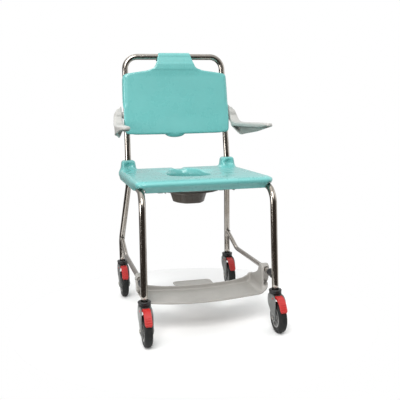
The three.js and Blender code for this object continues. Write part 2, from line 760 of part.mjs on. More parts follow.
function castorParts() {
  const forkOuterX = FORK_INNER_X + FORK_PLATE;
  const pinR = 5;
  const crown = solid(cylinderZ(20, FORK_CROWN_Z, FORK_TOP_Z, 0, 0, 16));
  const plates = bothSides(lyingAlongX(forkPlate(), FORK_INNER_X, forkOuterX, 4));
  const fork = cut(join([crown, ...plates]), [
    solid(cylinderZ(pinR + GAP, 90, 140, 0, 0, 8)),
    solid(cylinderX(AXLE_R + GAP, -40, 40, -WHEEL_TRAIL, WHEEL_R, 8)),
    solid(cylinderX(3 + GAP, -40, 40, PEDAL_PIVOT.y, PEDAL_PIVOT.z, 8)),
  ]);

  const collar = turned(
    [
      [pinR + GAP, FORK_TOP_Z + GAP],
      [20, FORK_TOP_Z + GAP],
      [20.5, COLLAR_TOP_Z - 3],
      [18, COLLAR_TOP_Z],
      [pinR + GAP, COLLAR_TOP_Z],
      [pinR + GAP, FORK_TOP_Z + GAP],
    ],
    16,
  );

  // The brake lever follows the front of the tyre; its trunnions turn in the fork plates.
  const lever = new THREE.Shape();
  lever.moveTo(-23.5, 121.5);
  lever.quadraticCurveTo(-55, 121.5, -70, 100);
  lever.quadraticCurveTo(-78, 90, -80.5, 79);
  lever.lineTo(-76, 77.5);
  lever.quadraticCurveTo(-72, 89, -65, 96);
  lever.quadraticCurveTo(-51, 109, -23.5, 109);
  const leverHalfX = 12;
  const trunnion = solid(cylinderX(3, -forkOuterX, forkOuterX, PEDAL_PIVOT.y, PEDAL_PIVOT.z, 8));
  const pedal = solid(lyingAlongX(lever, -leverHalfX, leverHalfX, 3)).add(trunnion);

  // A flat of the tyre's polygon meets the floor, so its corners lie a little outside the true radius.
  const cornerR = WHEEL_R / Math.cos(Math.PI / WHEEL_SIDES);
  const boreR = cornerR - 17;
  const tyreProfile = [
    [boreR, -13],
    [cornerR - 6, -13],
    [cornerR, -5],
    [cornerR, 5],
    [cornerR - 6, 13],
    [boreR, 13],
    [boreR, -13],
  ];
  const hubR = boreR - GAP;
  const hubProfile = [
    [AXLE_R + GAP, -12],
    [12, -8],
    [hubR, -12],
    [hubR, 12],
    [12, 8],
    [AXLE_R + GAP, 12],
    [AXLE_R + GAP, -12],
  ];
  const headX = forkOuterX + GAP;
  const axleProfile = [
    [0, -headX - 2.5],
    [7, -headX - 2.5],
    [7, -headX],
    [AXLE_R, -headX],
    [AXLE_R, headX],
    [7, headX],
    [7, headX + 2.5],
    [0, headX + 2.5],
  ];
  const halfFlat = Math.PI / WHEEL_SIDES;
  const onAxle = (profile, sides, turn) =>
    turned(profile, sides)
      .rotateZ(turn)
      .rotateY(Math.PI / 2)
      .translate(0, -WHEEL_TRAIL, WHEEL_R);
  return [
    ["collar", collar, "black"],
    ["king_pin", cylinderZ(pinR, FORK_CROWN_Z - 2, COLLAR_TOP_Z - 2, 0, 0, 8), "steel"],
    ["fork", geometryOf(fork), "forkGrey"],
    ["pedal", geometryOf(pedal), "red"],
    ["tyre", onAxle(tyreProfile, WHEEL_SIDES, halfFlat), "tyre"],
    ["hub", onAxle(hubProfile, WHEEL_SIDES, halfFlat), "forkGrey"],
    ["axle", onAxle(axleProfile, 8, 0), "steel"],
  ];
}

function buildCastors() {
  const parts = castorParts();
  const corners = [
    ["front_left", -LEG_X, FRONT_LEG_Y],
    ["front_right", LEG_X, FRONT_LEG_Y],
    ["rear_left", -LEG_X, REAR_LEG_Y],
    ["rear_right", LEG_X, REAR_LEG_Y],
  ];
  for (const [corner, x, y] of corners) {
    const castor = new THREE.Group();
    castor.position.set(x, y, 0);
    chair.add(castor);
    for (const [part, geometry, finish] of parts)
      place("castor_" + part + "_" + corner, geometry.clone(), finish, castor);
  }
}

buildFrame();
buildRailClamps();
buildSeat();
buildSeatClips();
buildBackrest();
buildArms();
buildFootrest();
buildPan();
buildCastors();

const object = new THREE.Group();
object.add(chair);

export default object;
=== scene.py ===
import json
import math

import bpy
import numpy as np
from mathutils import Matrix, Vector

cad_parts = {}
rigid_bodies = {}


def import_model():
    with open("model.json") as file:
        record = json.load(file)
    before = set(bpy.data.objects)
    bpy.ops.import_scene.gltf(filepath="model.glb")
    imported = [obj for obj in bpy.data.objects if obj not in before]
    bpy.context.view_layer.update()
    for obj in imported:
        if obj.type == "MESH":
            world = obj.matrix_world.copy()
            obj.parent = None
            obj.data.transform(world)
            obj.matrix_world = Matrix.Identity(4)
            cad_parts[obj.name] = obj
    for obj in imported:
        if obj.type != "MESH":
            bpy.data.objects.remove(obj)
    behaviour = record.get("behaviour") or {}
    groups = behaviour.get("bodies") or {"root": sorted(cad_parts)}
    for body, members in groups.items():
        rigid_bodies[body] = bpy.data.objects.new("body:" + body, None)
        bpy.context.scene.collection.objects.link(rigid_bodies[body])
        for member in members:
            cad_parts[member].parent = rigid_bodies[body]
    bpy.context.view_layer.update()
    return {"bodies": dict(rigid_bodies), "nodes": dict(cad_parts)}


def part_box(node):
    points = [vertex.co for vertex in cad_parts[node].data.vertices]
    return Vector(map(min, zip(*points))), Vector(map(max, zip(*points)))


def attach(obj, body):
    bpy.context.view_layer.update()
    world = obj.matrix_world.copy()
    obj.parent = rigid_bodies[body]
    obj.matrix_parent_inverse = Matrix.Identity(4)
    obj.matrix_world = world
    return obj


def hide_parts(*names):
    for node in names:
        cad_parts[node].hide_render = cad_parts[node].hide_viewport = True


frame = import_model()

MM = 0.001


def middle(node):
    low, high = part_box(node)
    return (low + high) / 2


FRONT_PIN = middle("castor_king_pin_front_right")
LEG_X = FRONT_PIN.x / MM
FRONT_LEG_Y = -275.0
REAR_LEG_Y = 274.0
BASE_Y = FRONT_PIN.y - FRONT_LEG_Y * MM  # the chair's Y = 0 in the row frame
TUBE_R = 11.0
UPRIGHT_X = 192.0
UPRIGHT_Y = 187.0
STRAIGHT_Z = 548.0  # the back leans above this height
LEAN_Y = 0.115
LEAN_X = 0.016
BAR_Z = 920.0
RAIL_Z = 472.0
FOOT_RAIL_R = 8.0
FOOT_RAIL_Z = 182.0


# ---- Arithmetic on fields -----------------------------------------------------------------------


def smin(a, b, k):
    """The smaller of two fields, blended over a width of about k."""
    h = np.clip(0.5 + 0.5 * (b - a) / k, 0.0, 1.0)
    return b + (a - b) * h - k * h * (1.0 - h)


def smax(a, b, k):
    return -smin(-a, -b, k)


def ramp(x, start, end):
    """0 before start, 1 after end, with soft ends."""
    t = np.clip((x - start) / (end - start), 0.0, 1.0)
    return t * t * (3.0 - 2.0 * t)


def rounded_box(x, y, half_x, half_y, radius):
    """Distance to a rounded rectangle about the origin."""
    qx = np.abs(x) - (half_x - radius)
    qy = np.abs(y) - (half_y - radius)
    outside = np.hypot(np.maximum(qx, 0.0), np.maximum(qy, 0.0))
    return outside + np.minimum(np.maximum(qx, qy), 0.0) - radius


def oval(x, y, half_x, half_y):
    """Near distance to an ellipse about the origin."""
    k = np.hypot(x / half_x, y / half_y)
    slope = np.hypot(x / half_x**2, y / half_y**2)
    return k * (k - 1.0) / np.maximum(slope, 1e-6)


def ball(x, y, z, radii):
    """Near distance to an ellipsoid about the origin."""
    rx, ry, rz = radii
    k = np.sqrt((x / rx) ** 2 + (y / ry) ** 2 + (z / rz) ** 2)
    slope = np.sqrt((x / rx**2) ** 2 + (y / ry**2) ** 2 + (z / rz**2) ** 2)
    return k * (k - 1.0) / np.maximum(slope, 1e-6)


class Outline:
    """The signed distance to a closed smooth outline in a plane, kept on a fine grid."""

    def __init__(self, points, smooth=0, margin=30.0, step=1.0):
        line = np.array(points, float)
        for _ in range(smooth):  # corner cutting
            ahead = np.roll(line, -1, axis=0)
            line = np.stack([0.75 * line + 0.25 * ahead, 0.25 * line + 0.75 * ahead], 1).reshape(-1, 2)
        self.low = line.min(0) - margin
        self.step = step
        count = np.ceil((line.max(0) + margin - self.low) / step).astype(int) + 1
        u = self.low[0] + step * np.arange(count[0])
        v = self.low[1] + step * np.arange(count[1])
        gu, gv = np.meshgrid(u, v, indexing="ij")
        best = np.full(gu.shape, 1e9)
        inside = np.zeros(gu.shape, bool)
        for (au, av), (bu, bv) in zip(line, np.roll(line, -1, axis=0)):
            du, dv = bu - au, bv - av
            t = np.clip(((gu - au) * du + (gv - av) * dv) / max(du * du + dv * dv, 1e-9), 0.0, 1.0)
            best = np.minimum(best, (gu - au - t * du) ** 2 + (gv - av - t * dv) ** 2)
            if dv:
                crossing = (av > gv) != (bv > gv)
                inside ^= crossing & (gu < au + (gv - av) * du / dv)
        self.grid = np.where(inside, -1.0, 1.0) * np.sqrt(best)

    def __call__(self, u, v):
        pu = np.clip((u - self.low[0]) / self.step, 0.0, self.grid.shape[0] - 1.001)
        pv = np.clip((v - self.low[1]) / self.step, 0.0, self.grid.shape[1] - 1.001)
        iu, iv = pu.astype(int), pv.astype(int)
        fu, fv = pu - iu, pv - iv
        g = self.grid
        near = g[iu, iv] * (1 - fu) + g[iu + 1, iv] * fu
        far = g[iu, iv + 1] * (1 - fu) + g[iu + 1, iv + 1] * fu
        return near * (1 - fv) + far * fv


def surface_of(field, low, high, step):
    """Vertices and quads of the surface where a field is zero, inside a box."""
    axes = [np.arange(a, b + step, step) for a, b in zip(low, high)]
    grid = np.meshgrid(*axes, indexing="ij")
    value = field(*grid)
    solid = value < 0.0
    shape = np.array(solid.shape) - 1
    corners = [(i, j, k) for i in (0, 1) for j in (0, 1) for k in (0, 1)]

    def at(array, corner):
        return array[tuple(slice(c, c + n) for c, n in zip(corner, shape))]

    count = sum(at(solid, c).astype(np.int8) for c in corners)
    cells = np.argwhere((count > 0) & (count < 8))
    index = np.full(shape, -1)
    index[tuple(cells.T)] = np.arange(len(cells))
    total = np.zeros((len(cells), 3))
    hits = np.zeros(len(cells))
    for a in corners:
        for axis in range(3):
            if a[axis]:
                continue
            b = tuple(c + (n == axis) for n, c in enumerate(a))
            va = at(value, a)[tuple(cells.T)]
            vb = at(value, b)[tuple(cells.T)]
            crossed = (va < 0) != (vb < 0)
            share = np.where(crossed, va / np.where(crossed, va - vb, 1.0), 0.0)
            point = np.tile(np.array(a, float), (len(cells), 1))
            point[:, axis] += share
            total += point * crossed[:, None]
            hits += crossed
    points = np.array(low, float) + (cells + total / hits[:, None]) * step
    quads = []
    for axis in range(3):
        u, v = (axis + 1) % 3, (axis + 2) % 3
        one = solid[tuple(slice(0, -1) if n == axis else slice(1, -1) for n in range(3))]
        two = solid[tuple(slice(1, None) if n == axis else slice(1, -1) for n in range(3))]
        for flip, mask in ((False, one & ~two), (True, ~one & two)):
            edge = np.argwhere(mask)
            edge[:, u] += 1
            edge[:, v] += 1
            ring = []
            for su, sv in ((0, 0), (1, 0), (1, 1), (0, 1)):
                cell = edge.copy()
                cell[:, u] -= 1 - su
                cell[:, v] -= 1 - sv
                ring.append(index[tuple(cell.T)])
            quad = np.stack(ring, 1)
            quads.append(quad[:, ::-1] if flip else quad)
    points = settle(field, points, step)
    return points, np.concatenate(quads)


def settle(field, points, step):
    """Moves points onto the surface along the field's slope, by less than a step."""
    start = points.copy()
    h = 0.25 * step
    for _ in range(3):
        x, y, z = points.T
        slope = np.stack(
            [
                field(x + h, y, z) - field(x - h, y, z),
                field(x, y + h, z) - field(x, y - h, z),
                field(x, y, z + h) - field(x, y, z - h),
            ],
            1,
        ) / (2 * h)
        size = np.maximum((slope**2).sum(1), 0.05)
        points = points - 0.8 * (field(x, y, z) / size)[:, None] * slope
        moved = points - start
        length = np.linalg.norm(moved, axis=1, keepdims=True)
        points = start + moved * np.minimum(1.0, 0.7 * step / np.maximum(length, 1e-9))
    return points


# ---- Building pieces ----------------------------------------------------------------------------


def add_piece(name, points, faces, look, body, stands_for=(), slot=None, flat_deg=None):
    """A mesh piece from points in millimetres in the chair's frame."""
    mesh = bpy.data.meshes.new(name)
    placed = np.asarray(points, float) * MM + np.array([0.0, BASE_Y, 0.0])
    mesh.from_pydata(placed.tolist(), [], [list(map(int, f)) for f in faces])
    mesh.validate()
    mesh.shade_smooth()
    if flat_deg is not None:
        mesh.set_sharp_from_angle(angle=math.radians(flat_deg))
    piece = bpy.data.objects.new(name, mesh)
    bpy.context.scene.collection.objects.link(piece)
    mesh.materials.append(look)
    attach(piece, body)
    if stands_for:
        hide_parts(*stands_for)
    return piece


def mirrored(points, faces):
    """The same surface on the other side of the chair."""
    return np.asarray(points) * np.array([-1.0, 1.0, 1.0]), [f[::-1] for f in faces]


def bent(corners, radii, step_deg=5.0):
    """Points along straight runs joined by round bends."""
    at = [np.array(c, float) for c in corners]
    points = [at[0]]
    for i in range(1, len(at) - 1):
        radius = radii[i - 1] if isinstance(radii, (list, tuple)) else radii
        before = (at[i] - at[i - 1]) / np.linalg.norm(at[i] - at[i - 1])
        after = (at[i + 1] - at[i]) / np.linalg.norm(at[i + 1] - at[i])
        turn = math.acos(max(-1.0, min(1.0, before @ after)))
        inward = (after - before * math.cos(turn)) / math.sin(turn)
        start = at[i] - before * radius * math.tan(turn / 2)
        steps = max(3, math.ceil(math.degrees(turn) / step_deg))
        for k in range(steps + 1):
            a = turn * k / steps
            points.append(start + before * radius * math.sin(a) + inward * radius * (1 - math.cos(a)))
    points.append(at[-1])
    return thickened(points)


def thickened(points, longest=18.0):
    """The same line with points added along its long runs."""
    line = [points[0]]
    for a, b in zip(points, points[1:]):
        count = max(1, math.ceil(np.linalg.norm(b - a) / longest))
        line += [a + (b - a) * k / count for k in range(1, count + 1)]
    return np.array(line)


def swept(line, radius, sides=28, end_round=1.2):
    """A round tube along a line, with softly rounded ends. The radius may vary along the line."""
    line = np.asarray(line, float)
    tangents = np.gradient(line, axis=0)
    tangents /= np.linalg.norm(tangents, axis=1, keepdims=True)
    side = np.cross(tangents[0], [0.3, 0.5, 0.8])
    side /= np.linalg.norm(side)
    radii = np.full(len(line), float(radius)) if np.isscalar(radius) else np.asarray(radius, float)
    rings, angles = [], np.linspace(0, 2 * math.pi, sides, endpoint=False)
    for n, (p, t) in enumerate(zip(line, tangents)):
        side = side - t * (side @ t)
        side /= np.linalg.norm(side)
        other = np.cross(t, side)
        circle = np.outer(np.cos(angles), side) + np.outer(np.sin(angles), other)
        if n == 0:
            rings.append(p + circle * (radii[n] - end_round))
            rings.append(p + t * end_round + circle * radii[n])
        elif n == len(line) - 1:
            rings.append(p - t * end_round + circle * radii[n])
            rings.append(p + circle * (radii[n] - end_round))
        else:
            rings.append(p + circle * radii[n])
    return lofted(rings)


def lofted(rings, closed=False):
    """A skin over rings with the same number of points, capped at both ends unless it is closed."""
    sides = len(rings[0])
    points = np.concatenate(rings)
    faces = []
    last = len(rings) if closed else len(rings) - 1
    for r in range(last):
        a, b = r * sides, ((r + 1) % len(rings)) * sides
        for s in range(sides):
            t = (s + 1) % sides
            faces.append([a + s, a + t, b + t, b + s])
    if not closed:
        faces.append(list(range(sides))[::-1])
        faces.append([(len(rings) - 1) * sides + s for s in range(sides)])
    return points, faces


def turned(profile, axis="z", sides=48):
    """A turned piece from radius and height pairs, closed along its profile."""
    angles = np.linspace(0, 2 * math.pi, sides, endpoint=False)
    rings = []
    for r, h in profile:
        ring = np.stack([r * np.cos(angles), r * np.sin(angles), np.full(sides, float(h))], 1)
        rings.append(ring if axis == "z" else ring[:, [2, 0, 1]])
    return lofted(rings, closed=True)


def joined(*parts):
    """Several surfaces as one."""
    points, faces, base = [], [], 0
    for p, f in parts:
        points.append(np.asarray(p))
        faces += [[base + int(i) for i in face] for face in f]
        base += len(p)
    return np.concatenate(points), faces


def shifted(part, by):
    return np.asarray(part[0]) + np.array(by, float), part[1]


def rounded_profile(corners, radii, steps=5):
    """A closed profile with its corners rounded."""
    out = []
    n = len(corners)
    for i, (corner, radius) in enumerate(zip(corners, radii)):
        p = np.array(corner, float)
        a = np.array(corners[i - 1], float) - p
        b = np.array(corners[(i + 1) % n], float) - p
        la, lb = np.linalg.norm(a), np.linalg.norm(b)
        a, b = a / la, b / lb
        half = math.acos(max(-1.0, min(1.0, a @ b))) / 2
        if radius <= 0 or half > math.radians(85):
            out.append(tuple(p))
            continue
        reach = min(radius / math.tan(half), 0.49 * la, 0.49 * lb)
        for k in range(steps + 1):
            t = k / steps
            q = p + a * reach * (1 - t) ** 2 + b * reach * t**2
            out.append(tuple(q))
    return out


# ---- Materials ----------------------------------------------------------------------------------


class Nodes:
    """A small helper that adds linked nodes to a material or world."""

    def __init__(self, tree):
        self.tree = tree

    def add(self, kind, **values):
        node = self.tree.nodes.new("ShaderNode" + kind)
        for key, value in values.items():
            if key in node.inputs:
                self.put(node.inputs[key], value)
            else:
                setattr(node, key, value)
        return node

    def put(self, socket, value):
        if isinstance(value, bpy.types.NodeSocket):
            self.tree.links.new(value, socket)
        else:
            socket.default_value = value

    def noise(self, place, scale, detail=3.0, roughness=0.5, distortion=0.0):
        node = self.add("TexNoise", Vector=place, Scale=scale, Detail=detail, Roughness=roughness)
        node.inputs["Distortion"].default_value = distortion
        return node.outputs["Fac"]

    def ramp(self, fac, low, high, start=0.0, end=1.0):
        node = self.add("MapRange", interpolation_type="SMOOTHSTEP")
        for name, value in (("Value", fac), ("From Min", start), ("From Max", end)):
            self.put(node.inputs[name], value)
        node.inputs["To Min"].default_value = low
        node.inputs["To Max"].default_value = high
        return node.outputs["Result"]

    def mix(self, fac, a, b, blend="MIX"):
        node = self.add("Mix", data_type="RGBA", blend_type=blend)
        self.put(node.inputs[0], fac)
        for socket, value in ((node.inputs[6], a), (node.inputs[7], b)):
            self.put(socket, (*value, 1.0) if isinstance(value, tuple) and len(value) == 3 else value)
        return node.outputs[2]

    def math(self, operation, a, b=0.0):
        node = self.add("Math", operation=operation)
        self.put(node.inputs[0], a)
        self.put(node.inputs[1], b)
        return node.outputs[0]

    def bump(self, height, distance, strength=1.0, normal=None):
        node = self.add("Bump", Height=height, Distance=distance, Strength=strength)
        if normal is not None:
            self.put(node.inputs["Normal"], normal)
        return node.outputs["Normal"]

    def stretched(self, place, scale):
        node = self.add("Mapping", Vector=place)
        node.inputs["Scale"].default_value = scale
        return node.outputs["Vector"]


def new_look(name):
    """A material with its own Principled shader, and the object's own coordinates."""
    look = bpy.data.materials.new(name)
    look.use_nodes = True
    nodes = Nodes(look.node_tree)
    shader = look.node_tree.nodes["Principled BSDF"]
    place = nodes.add("TexCoord").outputs["Object"]
    return look, nodes, shader, place


def moulded_plastic(name, colour, worn, rough, grain_mm=0.6, grain_depth=0.00002, coat=0.0, dirt=0.12):
    """Injection-moulded plastic: slow colour drift, fine grain, scuffs, and paler rubbed edges."""
    look, nodes, shader, place = new_look(name)
    drift = nodes.noise(place, 7.0, 4.0, 0.55)
    dark = tuple(c * (1.0 - dirt) for c in colour)
    base = nodes.mix(nodes.ramp(drift, 0.0, 1.0, 0.3, 0.7), dark, colour)
    cloud = nodes.noise(place, 38.0, 3.0, 0.6, 0.4)
    base = nodes.mix(nodes.ramp(cloud, 0.0, 0.14, 0.55, 0.8), base, worn)
    edge = nodes.add("NewGeometry").outputs["Pointiness"]
    base = nodes.mix(nodes.ramp(edge, 0.0, 0.45, 0.53, 0.62), base, worn)
    speck = nodes.noise(place, 900.0, 1.0)
    base = nodes.mix(nodes.ramp(speck, 0.0, 0.25, 0.66, 0.74), base, dark)
    nodes.put(shader.inputs["Base Color"], base)
    scuff = nodes.noise(nodes.stretched(place, (160.0, 22.0, 60.0)), 1.0, 5.0, 0.65)
    smear = nodes.noise(place, 16.0, 3.0, 0.6)
    smeared = nodes.ramp(smear, rough - 0.05, rough + 0.07, 0.3, 0.7)
    gloss = nodes.math("ADD", nodes.ramp(scuff, 0.0, 0.12, 0.5, 0.75), smeared)
    nodes.put(shader.inputs["Roughness"], gloss)
    grain = nodes.noise(place, 1000.0 / grain_mm, 2.0)
    fine = nodes.bump(grain, grain_depth)
    wave = nodes.noise(place, 45.0, 2.0)
    scratch = nodes.noise(nodes.stretched(place, (900.0, 30.0, 240.0)), 1.0, 3.0, 0.7)
    waved = nodes.bump(wave, 0.00003, 0.3, fine)
    marked = nodes.bump(nodes.ramp(scratch, 0.0, 1.0, 0.66, 0.72), 0.00002, 0.5, waved)
    nodes.put(shader.inputs["Normal"], marked)
    shader.inputs["IOR"].default_value = 1.5
    shader.inputs["Coat Weight"].default_value = coat
    shader.inputs["Coat Roughness"].default_value = 0.12
    return look


def polished_steel(name, colour, rough):
    """Bright-polished stainless tube: faint polishing lines, water marks and handling smears."""
    look, nodes, shader, place = new_look(name)
    smear = nodes.noise(place, 11.0, 5.0, 0.6, 0.6)
    tint = tuple(c * f for c, f in zip(colour, (0.78, 0.74, 0.69)))
    base = nodes.mix(nodes.ramp(smear, 0.0, 0.8, 0.35, 0.7), colour, tint)
    spot = nodes.noise(place, 240.0, 2.0)
    base = nodes.mix(nodes.ramp(spot, 0.0, 0.35, 0.68, 0.78), base, (0.30, 0.26, 0.22))
    nodes.put(shader.inputs["Base Color"], base)
    shader.inputs["Metallic"].default_value = 1.0
    line = nodes.noise(nodes.stretched(place, (900.0, 900.0, 30.0)), 1.0, 3.0, 0.6)
    smeared = nodes.ramp(smear, rough, rough + 0.1, 0.3, 0.75)
    gloss = nodes.math("ADD", nodes.ramp(line, 0.0, 0.07, 0.4, 0.7), smeared)
    nodes.put(shader.inputs["Roughness"], gloss)
    polish = nodes.bump(line, 0.00001, 0.5)
    ripple = nodes.noise(nodes.stretched(place, (60.0, 60.0, 14.0)), 1.0, 2.0)
    nodes.put(shader.inputs["Normal"], nodes.bump(ripple, 0.0003, 0.25, polish))
    return look


def tyre_rubber(name):
    """Grey-black rubber with dust in its grain."""
    look, nodes, shader, place = new_look(name)
    dust = nodes.noise(place, 55.0, 5.0, 0.65, 0.3)
    base = nodes.mix(nodes.ramp(dust, 0.0, 0.7, 0.45, 0.75), (0.009, 0.010, 0.010), (0.030, 0.029, 0.026))
    speck = nodes.noise(place, 700.0, 2.0)
    base = nodes.mix(nodes.ramp(speck, 0.0, 0.4, 0.6, 0.72), base, (0.055, 0.052, 0.05))
    nodes.put(shader.inputs["Base Color"], base)
    nodes.put(shader.inputs["Roughness"], nodes.ramp(dust, 0.48, 0.72, 0.3, 0.7))
    shader.inputs["Specular IOR Level"].default_value = 0.22
    grain = nodes.bump(nodes.noise(place, 1100.0, 3.0), 0.00006, 0.7)
    nodes.put(shader.inputs["Normal"], nodes.bump(nodes.noise(place, 120.0, 3.0), 0.0002, 0.35, grain))
    return look


def pale_floor(name):
    look, nodes, shader, place = new_look(name)
    drift = nodes.noise(place, 1.6, 4.0)
    nodes.put(shader.inputs["Base Color"], nodes.mix(drift, (0.93, 0.93, 0.925), (0.96, 0.96, 0.955)))
    nodes.put(shader.inputs["Roughness"], nodes.ramp(drift, 0.6, 0.75, 0.3, 0.7))
    nodes.put(shader.inputs["Normal"], nodes.bump(nodes.noise(place, 90.0, 3.0), 0.0004, 0.2))
    return look


STEEL = polished_steel("polished_steel", (0.42, 0.392, 0.358), 0.1)
DARK_STEEL = polished_steel("screw_steel", (0.42, 0.41, 0.39), 0.25)
TURQUOISE = moulded_plastic(
    "turquoise_plastic", (0.165, 0.51, 0.492), (0.27, 0.60, 0.585), 0.28, coat=0.3, dirt=0.05
)
ARM_GREY = moulded_plastic("warm_grey_plastic", (0.52, 0.515, 0.49), (0.66, 0.65, 0.63), 0.4)
FOOT_GREY = moulded_plastic("footrest_plastic", (0.40, 0.382, 0.355), (0.54, 0.52, 0.50), 0.42, 0.9, 0.00004)
PAN_GREY = moulded_plastic("pan_plastic", (0.105, 0.088, 0.072), (0.19, 0.17, 0.15), 0.36)
BLACK = moulded_plastic("black_plastic", (0.018, 0.018, 0.019), (0.08, 0.08, 0.08), 0.4)
# The fork's plastic is the hub's grey plastic made darker: painted shade for the fork cover, which sits in
# shadow.
FORK_SHADED_GREY = moulded_plastic("fork_plastic", (0.15, 0.155, 0.15), (0.28, 0.28, 0.27), 0.38)
HUB_GREY = moulded_plastic("hub_plastic", (0.22, 0.22, 0.215), (0.34, 0.34, 0.33), 0.4)
RED = moulded_plastic("red_plastic", (0.50, 0.020, 0.018), (0.62, 0.08, 0.07), 0.42)
TYRE = tyre_rubber("tyre_rubber")


# ---- Frame --------------------------------------------------------------------------------------

LEG_LOW_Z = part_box("rear_tube_right")[0].z / MM


def upright_at(z):
    rise = z - STRAIGHT_Z
    return np.array([UPRIGHT_X - LEAN_X * rise, UPRIGHT_Y + LEAN_Y * rise, z])


def back_frame():
    """One bent tube: up from a rear castor, over as the push bar, and down to the other castor."""
    right = [
        [LEG_X, REAR_LEG_Y, LEG_LOW_Z],
        [LEG_X, REAR_LEG_Y, 222.0],
        [UPRIGHT_X, UPRIGHT_Y, 452.0],
        [UPRIGHT_X, UPRIGHT_Y, STRAIGHT_Z],
        list(upright_at(BAR_Z)),
    ]
    left = [[-x, y, z] for x, y, z in reversed(right)]
    line = bent(right + left, [100.0, 100.0, 100.0, 46.0, 46.0, 100.0, 100.0, 100.0])
    stands_for = ("rear_tube_left", "rear_tube_right", "push_bar")
    add_piece("Back_Frame_Tube", *swept(line, TUBE_R), STEEL, "frame", stands_for, "steel_tube")


def front_legs():
    """Each front leg bends back under the seat and runs to the upright."""
    rear_y = UPRIGHT_Y - TUBE_R - 0.3
    line = bent(
        [[LEG_X, FRONT_LEG_Y, LEG_LOW_Z], [212.0, -267.0, RAIL_Z], [UPRIGHT_X, rear_y, RAIL_Z]],
        55.0,
    )
    part = swept(line, TUBE_R)
    add_piece("Front_Leg_Right", *part, STEEL, "frame", ("front_tube_right",), "steel_tube")
    add_piece("Front_Leg_Left", *mirrored(*part), STEEL, "frame", ("front_tube_left",), "steel_tube")


def cross_tubes():
    for name, y, node in (("Front", -140.0, "cross_tube_front"), ("Rear", UPRIGHT_Y, "cross_tube_rear")):
        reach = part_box(node)[1].x / MM
        line = thickened([np.array([-reach, y, RAIL_Z]), np.array([reach, y, RAIL_Z])])
        add_piece("Cross_Tube_" + name, *swept(line, TUBE_R), STEEL, "frame", (node,), "steel_tube")


def footrest_rails():
    """Thin rails from the rear legs to the front legs, which the footrest slides on."""
    line = bent([[LEG_X, 262.0, 227.5], [LEG_X, 142.0, FOOT_RAIL_Z], [LEG_X, -246.0, FOOT_RAIL_Z]], 100.0)
    part = swept(line, FOOT_RAIL_R, 24)
    add_piece("Footrest_Rail_Right", *part, STEEL, "frame", ("footrest_rail_right",), "steel_tube")
    add_piece("Footrest_Rail_Left", *mirrored(*part), STEEL, "frame", ("footrest_rail_left",), "steel_tube")


def weld_bead(centre, axis, radius, thick=1.5):
    """A rippled ring of weld round the end of a tube."""
    axis = np.array(axis, float) / np.linalg.norm(axis)
    side = np.cross(axis, [0.0, 0.0, 1.0] if abs(axis[2]) < 0.9 else [1.0, 0.0, 0.0])
    side /= np.linalg.norm(side)
    other = np.cross(axis, side)
    rings, count, sides = [], 72, 10
    for n in range(count):
        a = 2 * math.pi * n / count
        out = side * math.cos(a) + other * math.sin(a)
        wide = thick * (1.0 + 0.22 * math.sin(18 * a))
        ring = []
        for k in range(sides):
            b = 2 * math.pi * k / sides
            ring.append(np.array(centre) + out * (radius + wide * math.cos(b)) + axis * wide * math.sin(b))
        rings.append(np.array(ring))
    return lofted(rings, closed=True)


def welds():
    """The beads where the rails meet the uprights and the footrest rails meet the rear legs."""
    slant = math.atan2(20.0, UPRIGHT_Y + 267.0)
    rail_end = [UPRIGHT_X + 0.6, UPRIGHT_Y - TUBE_R - 1.5, RAIL_Z]
    foot_end = [LEG_X, 257.5, 226.0]
    beads = joined(
        weld_bead(rail_end, [-math.sin(slant), math.cos(slant), 0.0], TUBE_R),
        weld_bead([UPRIGHT_X - TUBE_R - 1.5, UPRIGHT_Y, RAIL_Z], [1.0, 0.0, 0.0], TUBE_R),
        weld_bead(foot_end, [0.0, 0.93, 0.36], FOOT_RAIL_R + 0.6),
    )
    add_piece("Weld_Beads_Right", *beads, DARK_STEEL, "frame", slot="steel_tube")
    add_piece("Weld_Beads_Left", *mirrored(*beads), DARK_STEEL, "frame", slot="steel_tube")


def rail_clamps():
    """Black blocks behind the front legs that hold the ends of the footrest rails."""

    def field(x, y, z):
        ax = x - LEG_X
        boss = smax(np.hypot(ax, z - FOOT_RAIL_Z) - 12.0, y + 226.0, 2.0)
        saddle = smax(rounded_box(ax, z - FOOT_RAIL_Z, 9.0, 13.0, 3.0), y + 248.0, 2.0)
        body = smin(boss, saddle, 2.0)
        body = np.maximum(body, -267.0 - y)
        rib = smax(np.abs(y + 237.0) - 1.2, np.hypot(ax, z - FOOT_RAIL_Z) - 12.8, 0.8)
        body = smin(body, rib, 0.8)
        leg = np.hypot(ax, y - FRONT_LEG_Y - 0.7) - TUBE_R - 0.3
        socket = np.maximum(np.hypot(ax, z - FOOT_RAIL_Z) - FOOT_RAIL_R - 0.2, -247.0 - y)
        return smax(smax(body, -leg, 0.8), -socket, 0.8)

    part = surface_of(field, (201, -269, 166), (231, -222, 198), 1.4)
    add_piece("Rail_Clamp_Right", *part, BLACK, "frame", ("rail_clamp_right",), "black_plastic")
    add_piece("Rail_Clamp_Left", *mirrored(*part), BLACK, "frame", ("rail_clamp_left",), "black_plastic")


# ---- Seat ---------------------------------------------------------------------------------------

SEAT_HALF_X = 230.0
SEAT_FRONT_Y = -254.0
SEAT_REAR_Y = 222.0
SEAT_TOP_Z = 503.0
SEAT_BOTTOM_Z = 466.0
HOLE_Y = 20.0


